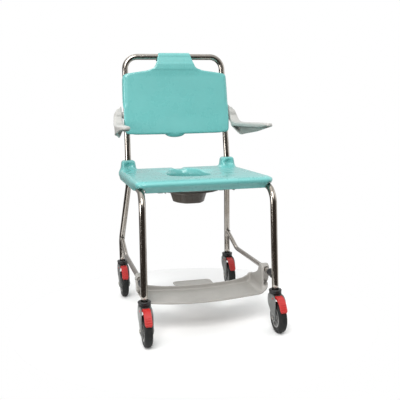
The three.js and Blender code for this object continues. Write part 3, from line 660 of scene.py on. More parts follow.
def seat_field(x, y, z):
    middle_y = (SEAT_FRONT_Y + SEAT_REAR_Y) / 2
    half_y = (SEAT_REAR_Y - SEAT_FRONT_Y) / 2
    # The apron leans in towards its foot, most of all at the front.
    foot = ramp(-z, -500.0, -462.0)
    tuck = foot * (7.0 + 11.0 * ramp(-y, 120.0, 245.0))
    edge = rounded_box(x, y - middle_y, SEAT_HALF_X, half_y, 34.0) + tuck
    hole = oval(x, y - HOLE_Y, 72.0, 125.0)
    # The top: level at the rim, dished towards the opening, rolled down at the front.
    dish = 7.0 * (1.0 - ramp(hole, 2.0, 42.0)) + 1.6 * (1.0 - ramp(hole, 20.0, 110.0))
    # The dish is half as deep in front of the opening, and dies out behind it.
    dish = dish * (0.45 + 0.55 * ramp(y, -125.0, -30.0)) * (1.0 - 0.9 * ramp(y, 60.0, 125.0))
    roll = 3.5 * ramp(-y, 205.0, 262.0)
    drain = 5.0 * (1.0 - ramp(np.abs(x), 12.0, 26.0)) * ramp(y, 118.0, 150.0)
    top = SEAT_TOP_Z - np.maximum(dish, drain) - roll
    outer = smax(edge, z - top, 22.0)
    outer = smax(outer, SEAT_BOTTOM_Z - z, 2.0)
    inner = smax(edge + 4.6, z - top + 5.0, 16.0)
    shell = smax(outer, -inner, 1.5)
    # The wall round the opening flares out towards the top.
    flare = 8.0 * np.clip((z - 483.0) / 18.0, 0.0, 1.1) ** 1.6
    skirt = np.maximum(np.abs(hole - flare - 3.0) - 2.8, SEAT_BOTTOM_Z + 1.0 - z)
    skirt = smax(skirt, z - top, 6.0)
    shell = smin(shell, skirt, 5.0)
    # The swollen corners that grip the uprights, each with a scoop in its front.
    ax, ay = np.abs(x) - UPRIGHT_X, y - UPRIGHT_Y
    plan = rounded_box(ax, ay + 1.0, 27.5, 27.5, 17.0)
    hump = smax(plan + 3.0 * ramp(z, 505.0, 540.0), z - 538.5, 12.0)
    hump = smax(hump, 490.0 - z, 2.0)
    scoop = ball(ax - 1.0, ay + 35.0, z - 519.0, (19.0, 17.0, 15.5))
    core = np.maximum(plan + 5.0, z - 498.0)
    shell = smin(shell, hump, 13.0)
    shell = smax(shell, -scoop, 4.0)
    shell = smax(shell, -core, 2.0)
    post = smax(np.hypot(ax, ay) - 16.0, 486.0 - z, 1.5)
    shell = smin(shell, np.maximum(post, z - 520.0), 2.0)
    shell = smax(shell, -(np.hypot(ax, ay) - TUBE_R - 0.6), 1.2)
    # The opening, the outlets for the front legs, and the room for the rails.
    shell = smax(shell, flare - hole, 3.0)
    leg_x = np.abs(x) - 210.0
    outlet = np.maximum(np.hypot(leg_x, np.maximum(z - 465.0, 0.0)) - 14.5, y + 236.0)
    shell = smax(shell, -outlet, 2.5)
    rail_x = np.abs(x) - (212.0 - 20.0 * (y + 267.0) / 442.7)
    rail = np.maximum(np.hypot(rail_x, z - RAIL_Z) - TUBE_R - 0.6, -245.0 - y)
    return smax(shell, -rail, 1.0)


def seat():
    step = 2.6
    part = surface_of(seat_field, (-236, -260, 460), (236, 228, 546), step)
    add_piece("Seat_Moulding", *part, TURQUOISE, "frame", ("seat",), "turquoise_plastic")


# ---- Backrest -----------------------------------------------------------------------------------

LEAN = math.atan(LEAN_Y)
BACK_LOW = (630.0 - STRAIGHT_Z) / math.cos(LEAN)


def along(z):
    """Distance up the leaning plane from where the back starts to lean."""
    return (z - STRAIGHT_Z) / math.cos(LEAN)


def panel_outline():
    half = [
        (0.0, BACK_LOW),
        (60.0, BACK_LOW),
        (120.0, BACK_LOW + 0.6),
        (upright_at(630)[0] - 8.0, BACK_LOW + 1.0),
        (upright_at(630)[0] + 6.5, BACK_LOW + 4.5),
        (upright_at(630)[0] + 12.5, BACK_LOW + 18.0),
        (upright_at(740)[0] + 13.5, along(740)),
        (upright_at(838)[0] + 13.3, along(838)),
        (upright_at(853)[0] + 9.0, along(851)),
        (upright_at(853)[0] - 4.0, along(856)),
        (150.0, along(861)),
        (118.0, along(865.5)),
        (96.0, along(869)),
        (83.0, along(873.5)),
        (75.0, along(882)),
        (70.0, along(897)),
        (65.5, along(913)),
        (62.0, along(926)),
        (58.0, along(936)),
        (48.0, along(945)),
        (0.0, along(946)),
    ]
    left = [(-x, s) for x, s in half[::-1][1:-1]]
    return Outline(half + left, smooth=2)


def backrest_field(edge_of):
    bar_s = along(BAR_Z)
    bend = [(-19.6, along(872)), (-19.6, along(893)), (-16.8, along(905)), (-13.2, bar_s - 4.0)]
    over = [(13.2 * -math.cos(a), bar_s + 13.2 * math.sin(a)) for a in np.linspace(0, math.pi, 13)]
    strap_line = bend + over + [(13.2, bar_s - 12.0)]

    def field(x, n, s):
        edge = edge_of(x, s)
        upright = UPRIGHT_X - LEAN_X * s * math.cos(LEAN)
        side = np.abs(x) - upright
        # A shallow bow across the panel, deepest at its middle.
        bow = 3.2 * np.clip(1.0 - (x / 175.0) ** 2, 0.0, 1.0) * ramp(s, BACK_LOW, BACK_LOW + 70.0)
        bow = bow * (1.0 - ramp(s, along(842), along(880)))
        front = -22.0 + bow
        # The sides roll back in a wide curve, and leave room for the armrest hubs low down.
        at_side = ramp(np.abs(x), 150.0, 176.0)
        above_hub = ramp(s, along(724.0), along(750.0))
        roll = 7.0 + at_side * (3.0 + 11.0 * above_hub) * (1.0 - ramp(s, along(836.0), along(856.0)))
        face = smax(edge, front - n, roll)
        turn_in = 15.0 - 8.8 * at_side * (1.0 - above_hub)
        outer = smax(face, n - (front + turn_in), 2.0)
        inner = smax(edge + 4.2, front + 4.2 - n, roll - 2.0)
        panel = smax(outer, -inner, 1.5)
        panel = smax(panel, s - along(893), 6.0)
        # The sides swell round the uprights; the swelling fades out above the armrests.
        wrap_back = 13.5
        depth = (wrap_back + 21.5) / 2
        channel = rounded_box(side - 0.2, n - (wrap_back - depth), 14.0, depth, 11.0)
        channel = smax(channel, face, 3.0)
        channel = smax(channel, s - along(846), 7.0)
        channel = smax(channel, along(730.0) + 0.9 * (n + 13.0) - s, 5.0)
        hollow = rounded_box(side + 5.0, n + 12.6, 14.0, 3.4, 2.0)
        channel = smax(channel, -(np.hypot(side, n) - TUBE_R - 0.35), 1.0)
        open_back = np.maximum(side - 4.0, -2.0 - n)
        channel = smax(channel, -open_back, 3.0)
        channel = smax(channel, -hollow, 1.5)
        shell = smin(panel, channel, 3.0)
        # The strap that hooks over the push bar.
        strap = np.full(np.broadcast(x, n, s).shape, 1e9)
        for (an, az), (bn, bz) in zip(strap_line, strap_line[1:]):
            dn, dz = bn - an, bz - az
            t = np.clip(((n - an) * dn + (s - az) * dz) / (dn * dn + dz * dz), 0.0, 1.0)
            strap = np.minimum(strap, np.hypot(n - an - t * dn, s - az - t * dz))
        strap = smax(strap - 1.85, edge, 2.5)
        shell = smin(shell, strap, 5.0)
        # The finger lip behind the bottom edge.
        lip = ball(x + 10.0, n + 7.0, s - BACK_LOW - 1.0, (36.0, 13.5, 12.5))
        cup = ball(x + 10.0, n - 4.0, s - BACK_LOW - 6.0, (29.0, 14.0, 10.5))
        return smin(shell, smax(lip, -cup, 2.0), 4.0)

    return field


def backrest():
    step = 2.4
    low, high = (-214, -28, BACK_LOW - 18), (214, 24, along(942))
    points, faces = surface_of(backrest_field(panel_outline()), low, high, step)
    x, n, s = points.T
    y = UPRIGHT_Y + n * math.cos(LEAN) + s * math.sin(LEAN)
    z = STRAIGHT_Z - n * math.sin(LEAN) + s * math.cos(LEAN)
    points = np.stack([x, y, z], 1)
    add_piece("Backrest_Moulding", points, faces, TURQUOISE, "frame", ("backrest",), "turquoise_plastic")


# ---- Armrests -----------------------------------------------------------------------------------

PIVOT_Z = 705.0
PIVOT = upright_at(PIVOT_Z)
ARM_INNER_X = 206.5
ARM_WALL = 5.2
ARM_LIP_Z = 657.5  # the foot of the short inner lip
ARM_WING_FOOT_Y = 168.0


def arm_field():
    """An armrest: a tall wing beside the backrest that sweeps down into a flat rest, open below."""
    plan = Outline(
        [
            (206.5, 214.0), (206.5, 150.0), (210.5, 90.0), (214.5, 20.0), (218.5, -60.0), (221.5, -120.0),
            (223.0, -146.0), (229.0, -160.0), (239.0, -165.5), (249.0, -160.5), (256.0, -142.0),
            (258.5, -110.0), (259.0, -40.0), (257.5, 20.0), (254.0, 70.0), (248.0, 125.0), (242.0, 175.0),
            (237.5, 210.0), (235.5, 240.0), (206.5, 240.0),
        ],
        smooth=2,
    )  # fmt: skip
    skirt = Outline(
        [
            (180.0, -165.5), (239.0, -165.5), (249.0, -160.5), (256.0, -142.0),
            (258.5, -110.0), (259.0, -40.0), (257.5, 20.0), (254.0, 70.0), (248.0, 125.0), (242.0, 175.0),
            (237.5, 210.0), (235.5, 240.0), (180.0, 240.0),
        ],
        smooth=2,
    )  # fmt: skip
    side = Outline(
        [
            (-190.0, 672.0), (-100.0, 672.0), (60.0, 672.0), (120.0, 672.2), (145.0, 673.8), (163.0, 677.5),
            (177.0, 685.0), (188.0, 694.5), (196.0, 707.0), (202.0, 722.0), (207.5, 735.0), (215.0, 742.0),
            (224.0, 740.0), (227.5, 724.0), (227.0, 702.0), (219.0, 689.5), (205.0, 680.0), (186.0, 668.5),
            (168.0, 657.0), (148.0, 642.5), (132.0, 631.0), (118.0, 625.8), (100.0, 626.5), (60.0, 632.0),
            (0.0, 640.0), (-70.0, 650.5), (-125.0, 657.5), (-155.0, 661.0), (-190.0, 663.5),
        ],
        smooth=2,
    )  # fmt: skip

    def field(x, y, z):
        wing = ramp(y, 100.0, 182.0)
        # The wing leans in over its height, and the skirt tucks in towards its foot.
        over = 28.0 * np.clip((z - 690.0) / 50.0, 0.0, 1.3) ** 2.2
        tuck = 0.36 * np.clip(670.0 - z, 0.0, 60.0)
        lean = (wing * over + ramp(y, 0.0, 80.0) * tuck) * ramp(x, 206.0, 226.0)
        edge = plan(x, y) + lean
        profile = side(y, z)
        outer = smax(edge, profile, 8.0)
        # The hollow leaves a wall all round and is open below, where a bead stiffens its edge.
        hollow = np.maximum(edge + ARM_WALL, profile + ARM_WALL)
        foot = np.maximum(z - 664.0, y - 172.0)
        open_foot = np.maximum(edge + ARM_WALL, foot)
        shell = smax(outer, -hollow, 1.2)
        shell = smax(shell, -open_foot, 1.2)
        # The inner side is only a short lip, so the inside of the outer skirt shows below it.
        outside = skirt(x, y) + lean
        open_side = np.maximum(outside + ARM_WALL, np.maximum(z - ARM_LIP_Z, y - ARM_WING_FOOT_Y))
        shell = smax(shell, -open_side, 1.6)
        bead = smax(np.abs(outside + 2.6) - 3.4, np.abs(profile + 2.4) - 1.6, 1.2)
        bead = np.maximum(bead, z - 664.0)
        # A sloping web closes the hollow from the wing's foot down to the skirt.
        web = np.maximum(np.abs(profile + 2.4) - 2.2, np.maximum(edge + 0.5, z - 664.0))
        web = smax(web, ARM_INNER_X + 0.425 * (ARM_WING_FOOT_Y - y) - x, 1.5)
        web = np.maximum(web, 110.0 - y)
        shell = smin(shell, web, 3.0)
        shell = smin(shell, bead, 2.0)
        # Stiffening ribs under the rest.
        near = np.abs((y + 135.0) % 45.0 - 22.5)
        rib = smax(near - 1.5, np.maximum(edge + 4.5, np.maximum(z - 668.0, 655.0 - z)), 1.0)
        rib = np.maximum(rib, np.abs(y) - 130.0)
        shell = smin(shell, rib, 1.5)
        boss = smax(np.hypot(y - PIVOT[1], z - PIVOT_Z) - 14.0, np.abs(x - 219.0) - 12.5, 2.5)
        shell = smin(shell, np.maximum(boss, edge + 1.0), 4.0)
        shell = smax(shell, ARM_INNER_X - x, 1.0)
        bore = np.hypot(y - PIVOT[1], z - PIVOT_Z) - 5.9
        return smax(shell, -np.maximum(bore, x - 225.0), 0.8)

    return field


def arms():
    part = surface_of(arm_field(), (201, -172, 618), (264, 234, 748), 2.2)
    add_piece("Armrest_Right", *part, ARM_GREY, "arm_right", ("arm_right",), "arm_plastic")
    add_piece("Armrest_Left", *mirrored(*part), ARM_GREY, "arm_left", ("arm_left",), "arm_plastic")


def arm_hubs():
    """The collars on the uprights that carry the armrest pivots."""
    px, py = PIVOT[0], PIVOT[1]

    def field(x, y, z):
        axis_y = UPRIGHT_Y + LEAN_Y * (z - STRAIGHT_Z)
        axis_x = UPRIGHT_X - LEAN_X * (z - STRAIGHT_Z)
        ring = np.hypot(x - axis_x, y - axis_y)
        collar = rounded_box(ring, z - PIVOT_Z, 14.6, 12.6, 2.6)
        arm = smax(np.hypot(y - py, z - PIVOT_Z) - 11.0, np.abs(x - (px + 9.6)) - 9.2, 1.5)
        arm = np.maximum(arm, x - (ARM_INNER_X - 0.4))
        clamp = rounded_box(x - axis_x, y - axis_y - 14.0, 6.0, 6.0, 2.0)
        clamp = smax(clamp, np.abs(z - PIVOT_Z) - 9.0, 2.0)
        body = smin(smin(collar, arm, 4.0), clamp, 2.5)
        slit = np.maximum(np.abs(x - axis_x) - 0.8, axis_y + 8.0 - y)
        body = np.maximum(body, -slit)
        return smax(body, -(ring - TUBE_R - 0.25), 0.8)

    part = surface_of(field, (171, 186, 689), (210, 228, 721), 1.3)
    add_piece("Armrest_Hub_Right", *part, ARM_GREY, "frame", ("arm_hub_right",), "arm_plastic")
    add_piece("Armrest_Hub_Left", *mirrored(*part), ARM_GREY, "frame", ("arm_hub_left",), "arm_plastic")


def screw_head(name, node, body, radius, tip_x, y, z, side):
    """A domed screw head with a cross recess, facing outwards along X."""
    low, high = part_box(node)

    def field(x, v, w):
        dome = ball(x, v - y, w - z, (3.4, radius * 1.25, radius * 1.25))
        head = smax(smax(dome, np.hypot(v - y, w - z) - radius, 0.6), -x - 0.2, 0.4)
        slot_a = np.maximum(np.abs(v - y) - 0.55, np.abs(w - z) - 0.5 * radius)
        slot_b = np.maximum(np.abs(w - z) - 0.55, np.abs(v - y) - 0.5 * radius)
        recess = np.maximum(np.minimum(slot_a, slot_b), 1.6 - x)
        return smax(head, -recess, 0.3)

    r = radius + 1.0
    points, faces = surface_of(field, (-1, y - r, z - r), (3.2, y + r, z + r), 0.45)
    points[:, 0] = points[:, 0] * ((high.x - low.x) / MM / 2.8) + tip_x
    part = (points, faces) if side > 0 else mirrored(points, faces)
    add_piece(name, *part, DARK_STEEL, body, (node,), "fastener_steel")


# ---- Footrest -----------------------------------------------------------------------------------

FOOT_LOW_Z = 102.0
EAR_Y = -176.0


def footrest_field():
    plate = Outline(
        [
            (205.5, -62.0), (206.0, -110.0), (212.0, -136.0), (220.0, -158.0), (222.5, -180.0), (220.5, -197.0),
            (212.0, -207.0), (196.0, -212.0), (176.0, -216.5), (130.0, -227.0), (80.0, -238.0), (40.0, -244.5),
            (0.0, -246.5), (-40.0, -246.0), (-80.0, -242.5), (-120.0, -234.0), (-150.0, -224.0),
            (-176.0, -213.0), (-196.0, -207.0), (-212.0, -202.0), (-220.5, -193.0), (-222.5, -178.0),
            (-220.0, -158.0), (-212.0, -136.0), (-206.0, -110.0), (-205.5, -62.0), (-150.0, -76.0),
            (-80.0, -90.0), (0.0, -98.5), (80.0, -90.0), (150.0, -76.0),
        ],
        smooth=2,
    )  # fmt: skip
    ear = Outline(
        [
            (-64.0, 103.0), (-64.0, 132.0), (-74.0, 140.0), (-100.0, 149.0), (-126.0, 158.0), (-143.0, 167.0),
            (-152.0, 174.0), (-157.0, 186.0), (-164.0, 196.5), (-176.0, 201.0), (-188.0, 196.5),
            (-195.0, 184.0), (-196.5, 168.0), (-198.0, 140.0), (-199.0, 103.0),
        ],
        smooth=2,
    )  # fmt: skip
    head = Outline(
        [
            (-157.0, 182.0), (-162.5, 195.5), (-176.0, 201.0), (-189.5, 195.5), (-195.0, 182.0), (-190.0, 160.0),
            (-184.0, 143.0), (-178.0, 136.5), (-170.0, 135.5), (-163.0, 140.0), (-160.0, 160.0),
        ],
        smooth=2,
    )  # fmt: skip

    def field(x, y, z):
        ax = np.abs(x)
        top = FOOT_LOW_Z + 5.0
        edge = plate(x, y)
        # The ends of the plate curve up towards the ears.
        lift = 28.0 * np.clip((ax - 182.0) / 40.0, 0.0, 1.05) ** 2
        slab = smax(edge, np.abs(z - lift - FOOT_LOW_Z - 2.5) - 2.7, 3.0)
        # A low rolled rim along the free edge.
        rim = np.maximum(np.abs(edge + 3.0) - 2.4, np.maximum(FOOT_LOW_Z + 1.0 + lift - z, z - lift - top - 1.4))
        rim = smax(rim, y + 108.0, 8.0)
        slab = smin(slab, rim, 2.5)
        # The heel wall along the rear edge.
        line = -98.5 + 36.5 * np.clip(ax / 205.0, 0.0, 1.0) ** 1.75
        wall_top = 122.5 + 6.5 * ramp(ax, 110.0, 204.0) + 9.0 * ramp(ax, 165.0, 204.0)
        wall = smax(np.abs(y - line + 2.5) - 2.6, z - wall_top, 3.0)
        wall = smax(smax(wall, FOOT_LOW_Z - z, 1.0), ax - 205.0, 2.0)
        body = smin(slab, wall, 7.0)
        tongue = rounded_box(x, y + 48.5, 70.0, 63.0, 16.0)
        tongue = smax(tongue, np.abs(z - FOOT_LOW_Z - 2.5) - 2.5, 3.0)
        hollow = np.maximum(rounded_box(x, y + 40.0, 62.0, 46.0, 12.0), FOOT_LOW_Z + 3.4 - z)
        tongue = smax(tongue, -hollow, 1.5)
        body = smin(body, tongue, 2.0)
        # The ears that hang the footrest from its rails.
        web = smax(ear(y, z), np.abs(ax - 202.6) - 3.4, 4.0)
        body = smin(body, smax(web, FOOT_LOW_Z - z, 1.0), 16.0)
        disc = smax(head(y, z), np.abs(ax - 216.0) - 10.8, 5.0)
        body = smin(body, disc, 5.0)
        ring = np.hypot(y - EAR_Y, z - FOOT_RAIL_Z)
        dimple = np.maximum(ring - 8.5, 225.6 - ax)
        body = smax(body, -dimple, 1.2)
        under = np.maximum(np.hypot(ax - 216.0, z - FOOT_RAIL_Z) - FOOT_RAIL_R - 0.6, np.abs(y + 130.0) - 92.0)
        body = smax(body, -under, 0.8)
        return smax(body, FOOT_LOW_Z - z, 1.0)

    return field


def footrest():
    step = 2.2
    low, high = (-231, -252, 99), (231, 20, 204)
    part = surface_of(footrest_field(), low, high, step)
    add_piece("Footrest", *part, FOOT_GREY, "footrest", ("footrest",), "foot_plastic")


# ---- Pan and its rails --------------------------------------------------------------------------

PAN_Y = 30.0
PAN_LOW_Z = 397.0
PAN_RIM_Z = 446.0


def pan_field():
    """A facetted bowl under a flat oval rim, with a pull at the back."""
    quarter = [(39.0, -96.0), (65.0, -43.0), (73.0, 0.0)]
    right = quarter + [(x, -y) for x, y in quarter[1::-1]]
    bowl = Outline(right + [(-x, -y) for x, y in right], step=0.5)

    def field(x, y, z):
        v = y - PAN_Y
        rise = np.clip((z - PAN_LOW_Z) / (PAN_RIM_Z - PAN_LOW_Z), 0.0, 1.2)
        share = 0.795 + 0.205 * rise
        body = bowl(x / share, v / share) * share
        body = smax(body, oval(x, v, 69.0 * share / 0.95, 97.0 * share / 0.95) - 0.5, 6.0)
        step_in = 1.4 * (1.0 - ramp(z, 429.0, 431.0))
        outer = smax(body + step_in, PAN_LOW_Z - z, 4.0)
        # Upright ribs on the front and back facets.
        rib = np.abs(np.abs(x - 6.0) - 13.0) - 1.0
        rib = smax(np.maximum(rib, 405.0 - z), body - 0.2, 1.0)
        outer = smin(outer, np.maximum(rib, z - 430.0), 1.0)
        inner = smax(body + 4.4, PAN_LOW_Z + 3.2 - z, 5.0)
        rim = oval(x, v, 111.0, 140.0)
        lip = smax(rim, np.abs(z - PAN_RIM_Z + 2.9) - 2.6, 2.0)
        hem = np.maximum(np.abs(rim + 2.0) - 1.8, np.abs(z - PAN_RIM_Z + 3.0) - 3.0)
        grip = rounded_box(x, v - 142.0, 34.0, 30.0, 14.0)
        grip = smax(grip, np.abs(z - PAN_RIM_Z + 3.5) - 2.4, 2.0)
        slot = rounded_box(x, v - 156.0, 20.0, 6.5, 6.0)
        grip = smax(grip, -slot, 2.0)
        solid = smin(smin(smin(outer, lip, 4.0), hem, 1.5), grip, 2.0)
        solid = smax(solid, z - PAN_RIM_Z, 1.2)
        return smax(solid, -inner, 2.5)

    return field


def pan():
    step = 2.1
    part = surface_of(pan_field(), (-115, -114, 393), (115, 206, 450), step)
    add_piece("Pan", *part, PAN_GREY, "pan", ("pan",), "pan_plastic")


# ---- Castors ------------------------------------------------------------------------------------

WHEEL_R = 50.0
TRAIL = 30.0
PEDAL_PIVOT_Y = -27.0
PEDAL_PIVOT_Z = 113.0
FORK_TOP_Z = 122.2  # just under the collar


def fork_field():
    cover = Outline(
        [
            (19.0, 122.0), (-20.0, 122.3), (-33.0, 119.0), (-43.0, 110.0), (-47.0, 98.0), (-46.5, 86.0),
            (-43.5, 76.0), (-45.5, 66.0), (-45.0, 56.0), (-44.5, 46.0), (-38.5, 37.5),
            (-30.0, 34.8), (-21.0, 37.5), (-15.0, 45.5),
            (-12.0, 58.0), (-3.0, 70.0), (10.0, 79.0), (18.0, 90.0), (20.0, 105.0),
        ],
        smooth=2,
        step=0.5,
    )  # fmt: skip

    def field(x, y, z):
        ax = np.abs(x)
        profile = cover(y, z)
        # The cheeks bulge round the wheel and meet in the crown.
        bulge = 20.3 - 0.0026 * (z - 84.0) ** 2 * (z > 84.0) * 0.35
        cheek = smax(profile, ax - bulge, 3.5)
        crown = smax(np.hypot(x, y) - 20.3, np.abs(z - 114.6) - 7.6, 2.5)
        body = smin(cheek, crown, 3.0)
        wheel_room = np.hypot(y + TRAIL, z - WHEEL_R) - 54.5
        room = np.maximum(ax - 15.4, z - 108.0)
        body = smax(body, -room, 1.5)
        slot = np.maximum(np.maximum(ax - 14.2, y + 12.0), 90.0 - z)
        body = smax(body, -slot, 1.0)
        body = smax(body, -np.maximum(wheel_room, ax - 15.4), 1.0)
        seat_ring = np.maximum(np.hypot(y + TRAIL, z - WHEEL_R) - 9.0, 19.0 - ax)
        body = smax(body, -seat_ring, 0.8)
        groove = np.maximum(np.abs(profile + 4.5) - 0.7, 19.7 - ax)
        body = smax(body, -groove, 0.6)
        axle = np.hypot(y + TRAIL, z - WHEEL_R) - 4.3
        body = smax(body, -axle, 0.5)
        # The bore for the pedal's trunnion, and the flat top that runs under the collar.
        trunnion_room = np.hypot(y - PEDAL_PIVOT_Y, z - PEDAL_PIVOT_Z) - 3.9
        body = smax(body, -trunnion_room, 0.4)
        return np.maximum(body, z - FORK_TOP_Z)

    return field


def pedal_field():
    lever = Outline(
        [
            (-23.8, 121.8), (-38.0, 121.5), (-50.0, 118.5), (-60.5, 112.0), (-69.5, 102.0), (-76.5, 91.5),
            (-79.8, 82.5), (-80.3, 79.0), (-78.0, 76.8), (-75.6, 78.0), (-72.0, 87.5), (-65.0, 96.5),
            (-56.0, 103.5), (-45.0, 107.8), (-34.0, 109.0), (-23.8, 109.0),
        ],
        smooth=2,
        step=0.5,
    )  # fmt: skip

    def field(x, y, z):
        ax = np.abs(x)
        profile = lever(y, z)
        wide = 11.0 + 1.0 * ramp(-y, 30.0, 62.0) - 5.0 * np.clip((86.0 - z) / 9.0, 0.0, 1.0) ** 2
        body = smax(profile, ax - wide, 3.0)
        # Raised tread bars near the tip, and a shallow dish between the side rails.
        body = smax(body, -np.maximum(-(profile + 1.3), ax - wide + 2.6), 0.6)
        along_lever = np.arctan2(z - 56.0, -(y + 34.0))
        bars = np.maximum(np.abs((along_lever * 8.0) % 1.0 - 0.5) * 5.0 - 0.9, ax - 8.5)
        bars = np.maximum(bars, np.abs(profile + 1.2) - 1.2)
        bars = np.maximum(bars, along_lever - 0.95)
        body = smin(body, bars, 0.8)
        trunnion = np.maximum(np.hypot(y - PEDAL_PIVOT_Y, z - PEDAL_PIVOT_Z) - 3.0, ax - 20.4)
        return smin(body, trunnion, 1.0)

    return field


def tyre_part():
    """A tyre with a rounded tread."""
    r, half = WHEEL_R, 13.0
    corners = [
        (33.2, -half + 0.6), (36.0, -half), (42.5, -half), (47.0, -half + 1.6), (49.4, -half + 5.0),
        (r, -4.0), (r, 4.0), (49.4, half - 5.0), (47.0, half - 1.6), (42.5, half), (36.0, half),
        (33.2, half - 0.6),
    ]  # fmt: skip
    radii = [0.4, 1.0, 1.2, 2.0, 2.4, 3.0, 3.0, 2.4, 2.0, 1.2, 1.0, 0.4]
    return turned(rounded_profile(corners, radii, 4), "x", 72)


def hub_field(x, y, z):
    """The wheel's centre: a dished disc with ribs, and a boss round the axle."""
    ring = np.hypot(y, z)
    ax = np.abs(x)
    disc = smax(ring - 33.0, ax - 4.0, 1.0)
    band = smax(np.abs(ring - 29.8) - 3.2, ax - 12.2, 1.6)
    boss = smax(ring - 11.0, ax - 12.6, 1.6)
    angle = np.arctan2(z, y)
    turn = np.abs((angle / (2 * math.pi) * 6.0) % 1.0 - 0.5)
    rib = smax(turn * ring * 2 * math.pi / 6.0 - 1.6, ax - 9.0, 1.0)
    rib = smax(rib, ring - 31.0, 1.0)
    body = smin(smin(smin(disc, band, 2.5), boss, 2.0), rib, 2.0)
    return smax(body, -(ring - 4.3), 0.6)


def axle_part():
    """The axle bolt: a domed head on one side and a nut on the other."""
    head = turned(rounded_profile([(0.01, 20.8), (6.6, 20.8), (6.6, 22.0), (4.0, 23.2), (0.01, 23.2)],
                                  [0, 0.4, 0.8, 0.8, 0], 3), "x", 32)  # fmt: skip
    shank = turned([(0.01, -20.9), (4.0, -20.9), (4.0, 20.9), (0.01, 20.9)], "x", 24)
    nut = turned(rounded_profile([(0.01, -23.2), (5.2, -23.2), (6.6, -22.4), (6.6, -20.8), (0.01, -20.8)],
                                 [0, 0.5, 0.5, 0.2, 0], 3), "x", 6)  # fmt: skip
    return joined(head, shank, nut)


def collar_part():
    """The black cap over the castor's bearing, with a lip round its top."""
    corners = [
        (11.4, 122.7), (19.4, 122.7), (20.2, 124.5), (20.0, 130.5), (21.0, 131.6), (21.0, 134.4),
        (19.4, 136.0), (13.0, 136.0), (11.4, 135.0),
    ]  # fmt: skip
    return turned(rounded_profile(corners, [0.5, 1.0, 0.8, 0.8, 0.6, 1.2, 1.2, 0.6, 0.4], 4), "z", 56)


def castors():
    fork = surface_of(fork_field(), (-23, -48, 32), (23, 23, 125), 1.35)
    pedal = surface_of(pedal_field(), (-22, -92, 58), (22, -20, 124), 1.15)
    hub = surface_of(hub_field, (-14, -35, -35), (14, 35, 35), 1.4)
    tyre = tyre_part()
    axle = axle_part()
    collar = collar_part()
    on_axle = (0.0, -TRAIL, WHEEL_R)
    corners = [("front", FRONT_LEG_Y), ("rear", REAR_LEG_Y)]
    for end, y in corners:
        for hand, x in (("left", -LEG_X), ("right", LEG_X)):
            corner = f"{end}_{hand}"
            swivel, wheel, lever = (f"castor_{corner}_{part}" for part in ("swivel", "wheel", "pedal"))
            at = (x, y, 0.0)
            name = f"Castor_{end.title()}_{hand.title()}_"

            def put(part, shape, look, body, slot, lift=(0.0, 0.0, 0.0), flat=None):
                moved = shifted(shifted(shape, lift), at)
                node = f"castor_{part.lower()}_{corner}"
                add_piece(name + part, *moved, look, body, (node,), slot, flat)

            put("Collar", collar, BLACK, "frame" if collar_fixed(corner) else swivel, "black_plastic")
            # The fork gets the darker copy of the hub's plastic, which is painted shade.
            put("Fork", fork, FORK_SHADED_GREY, swivel, "fork_plastic")
            put("Pedal", pedal, RED, lever, "red_plastic")
            put("Tyre", tyre, TYRE, wheel, "tyre_rubber", on_axle)
            put("Hub", hub, HUB_GREY, wheel, "fork_plastic", on_axle)
            put("Axle", axle, DARK_STEEL, body_of_node(f"castor_axle_{corner}"), "fastener_steel", on_axle, 40)


def body_of_node(node):
    """The CAD body that a node rides on."""
    return next(b for b, e in frame["bodies"].items() if frame["nodes"][node].parent is e)


def collar_fixed(corner):
    return body_of_node(f"castor_collar_{corner}") == "frame"


# ---- Carried-over nodes -------------------------------------------------------------------------


def dress(node, look, width=0.0006):
    """A CAD node that is shown as it is, with its edges softened and a better material."""
    piece = frame["nodes"][node]
    for slot in piece.material_slots:
        slot.material = look
    bevel = piece.modifiers.new("Soft_Edges", "BEVEL")
    bevel.width = width
    bevel.segments = 2
    bevel.limit_method = "ANGLE"
    bevel.angle_limit = math.radians(40.0)


def carried_over():
    for hand in ("left", "right"):
        dress("pan_rail_" + hand, FOOT_GREY, 0.0009)
        dress("seat_clip_front_" + hand, BLACK)
        dress("seat_clip_rear_" + hand, BLACK)
        dress("arm_pin_" + hand, DARK_STEEL, 0.0004)
        for end in ("front", "rear"):
            dress(f"castor_king_pin_{end}_{hand}", DARK_STEEL, 0.0004)


# ---- Stage --------------------------------------------------------------------------------------


FLOOR_R = 0.62


def stage_floor():
    """A pale floor: a wide disc whose rim falls away below."""
    sides = 96
    angles = np.linspace(0, 2 * math.pi, sides, endpoint=False)
    rings = [(0.02, 0.0), (0.25, 0.0), (0.45, 0.0), (FLOOR_R, 0.0), (FLOOR_R + 0.01, -0.01)]
    points = [(r * math.cos(a), r * math.sin(a), z) for r, z in rings for a in angles]
    faces = [list(range(sides))]
    for k in range(len(rings) - 1):
        for s in range(sides):
            t = (s + 1) % sides
            faces.append([k * sides + s, (k + 1) * sides + s, (k + 1) * sides + t, k * sides + t])
    mesh = bpy.data.meshes.new("Floor")
    mesh.from_pydata(points, [], faces)
    mesh.shade_smooth()
    mesh.materials.append(pale_floor("pale_floor"))
    floor = bpy.data.objects.new("Floor", mesh)
    bpy.context.scene.collection.objects.link(floor)


def softbox(name, place, target, size, power, colour=(1.0, 1.0, 1.0)):
    light = bpy.data.lights.new(name, "AREA")
    light.shape = "RECTANGLE"
    light.size, light.size_y = size
    light.energy = power
    light.color = colour
    box = bpy.data.objects.new(name, light)
    box.location = place
    box.rotation_mode = "QUATERNION"
    box.rotation_quaternion = (Vector(target) - Vector(place)).to_track_quat("-Z", "Y")
    box.visible_camera = False
    bpy.context.scene.collection.objects.link(box)


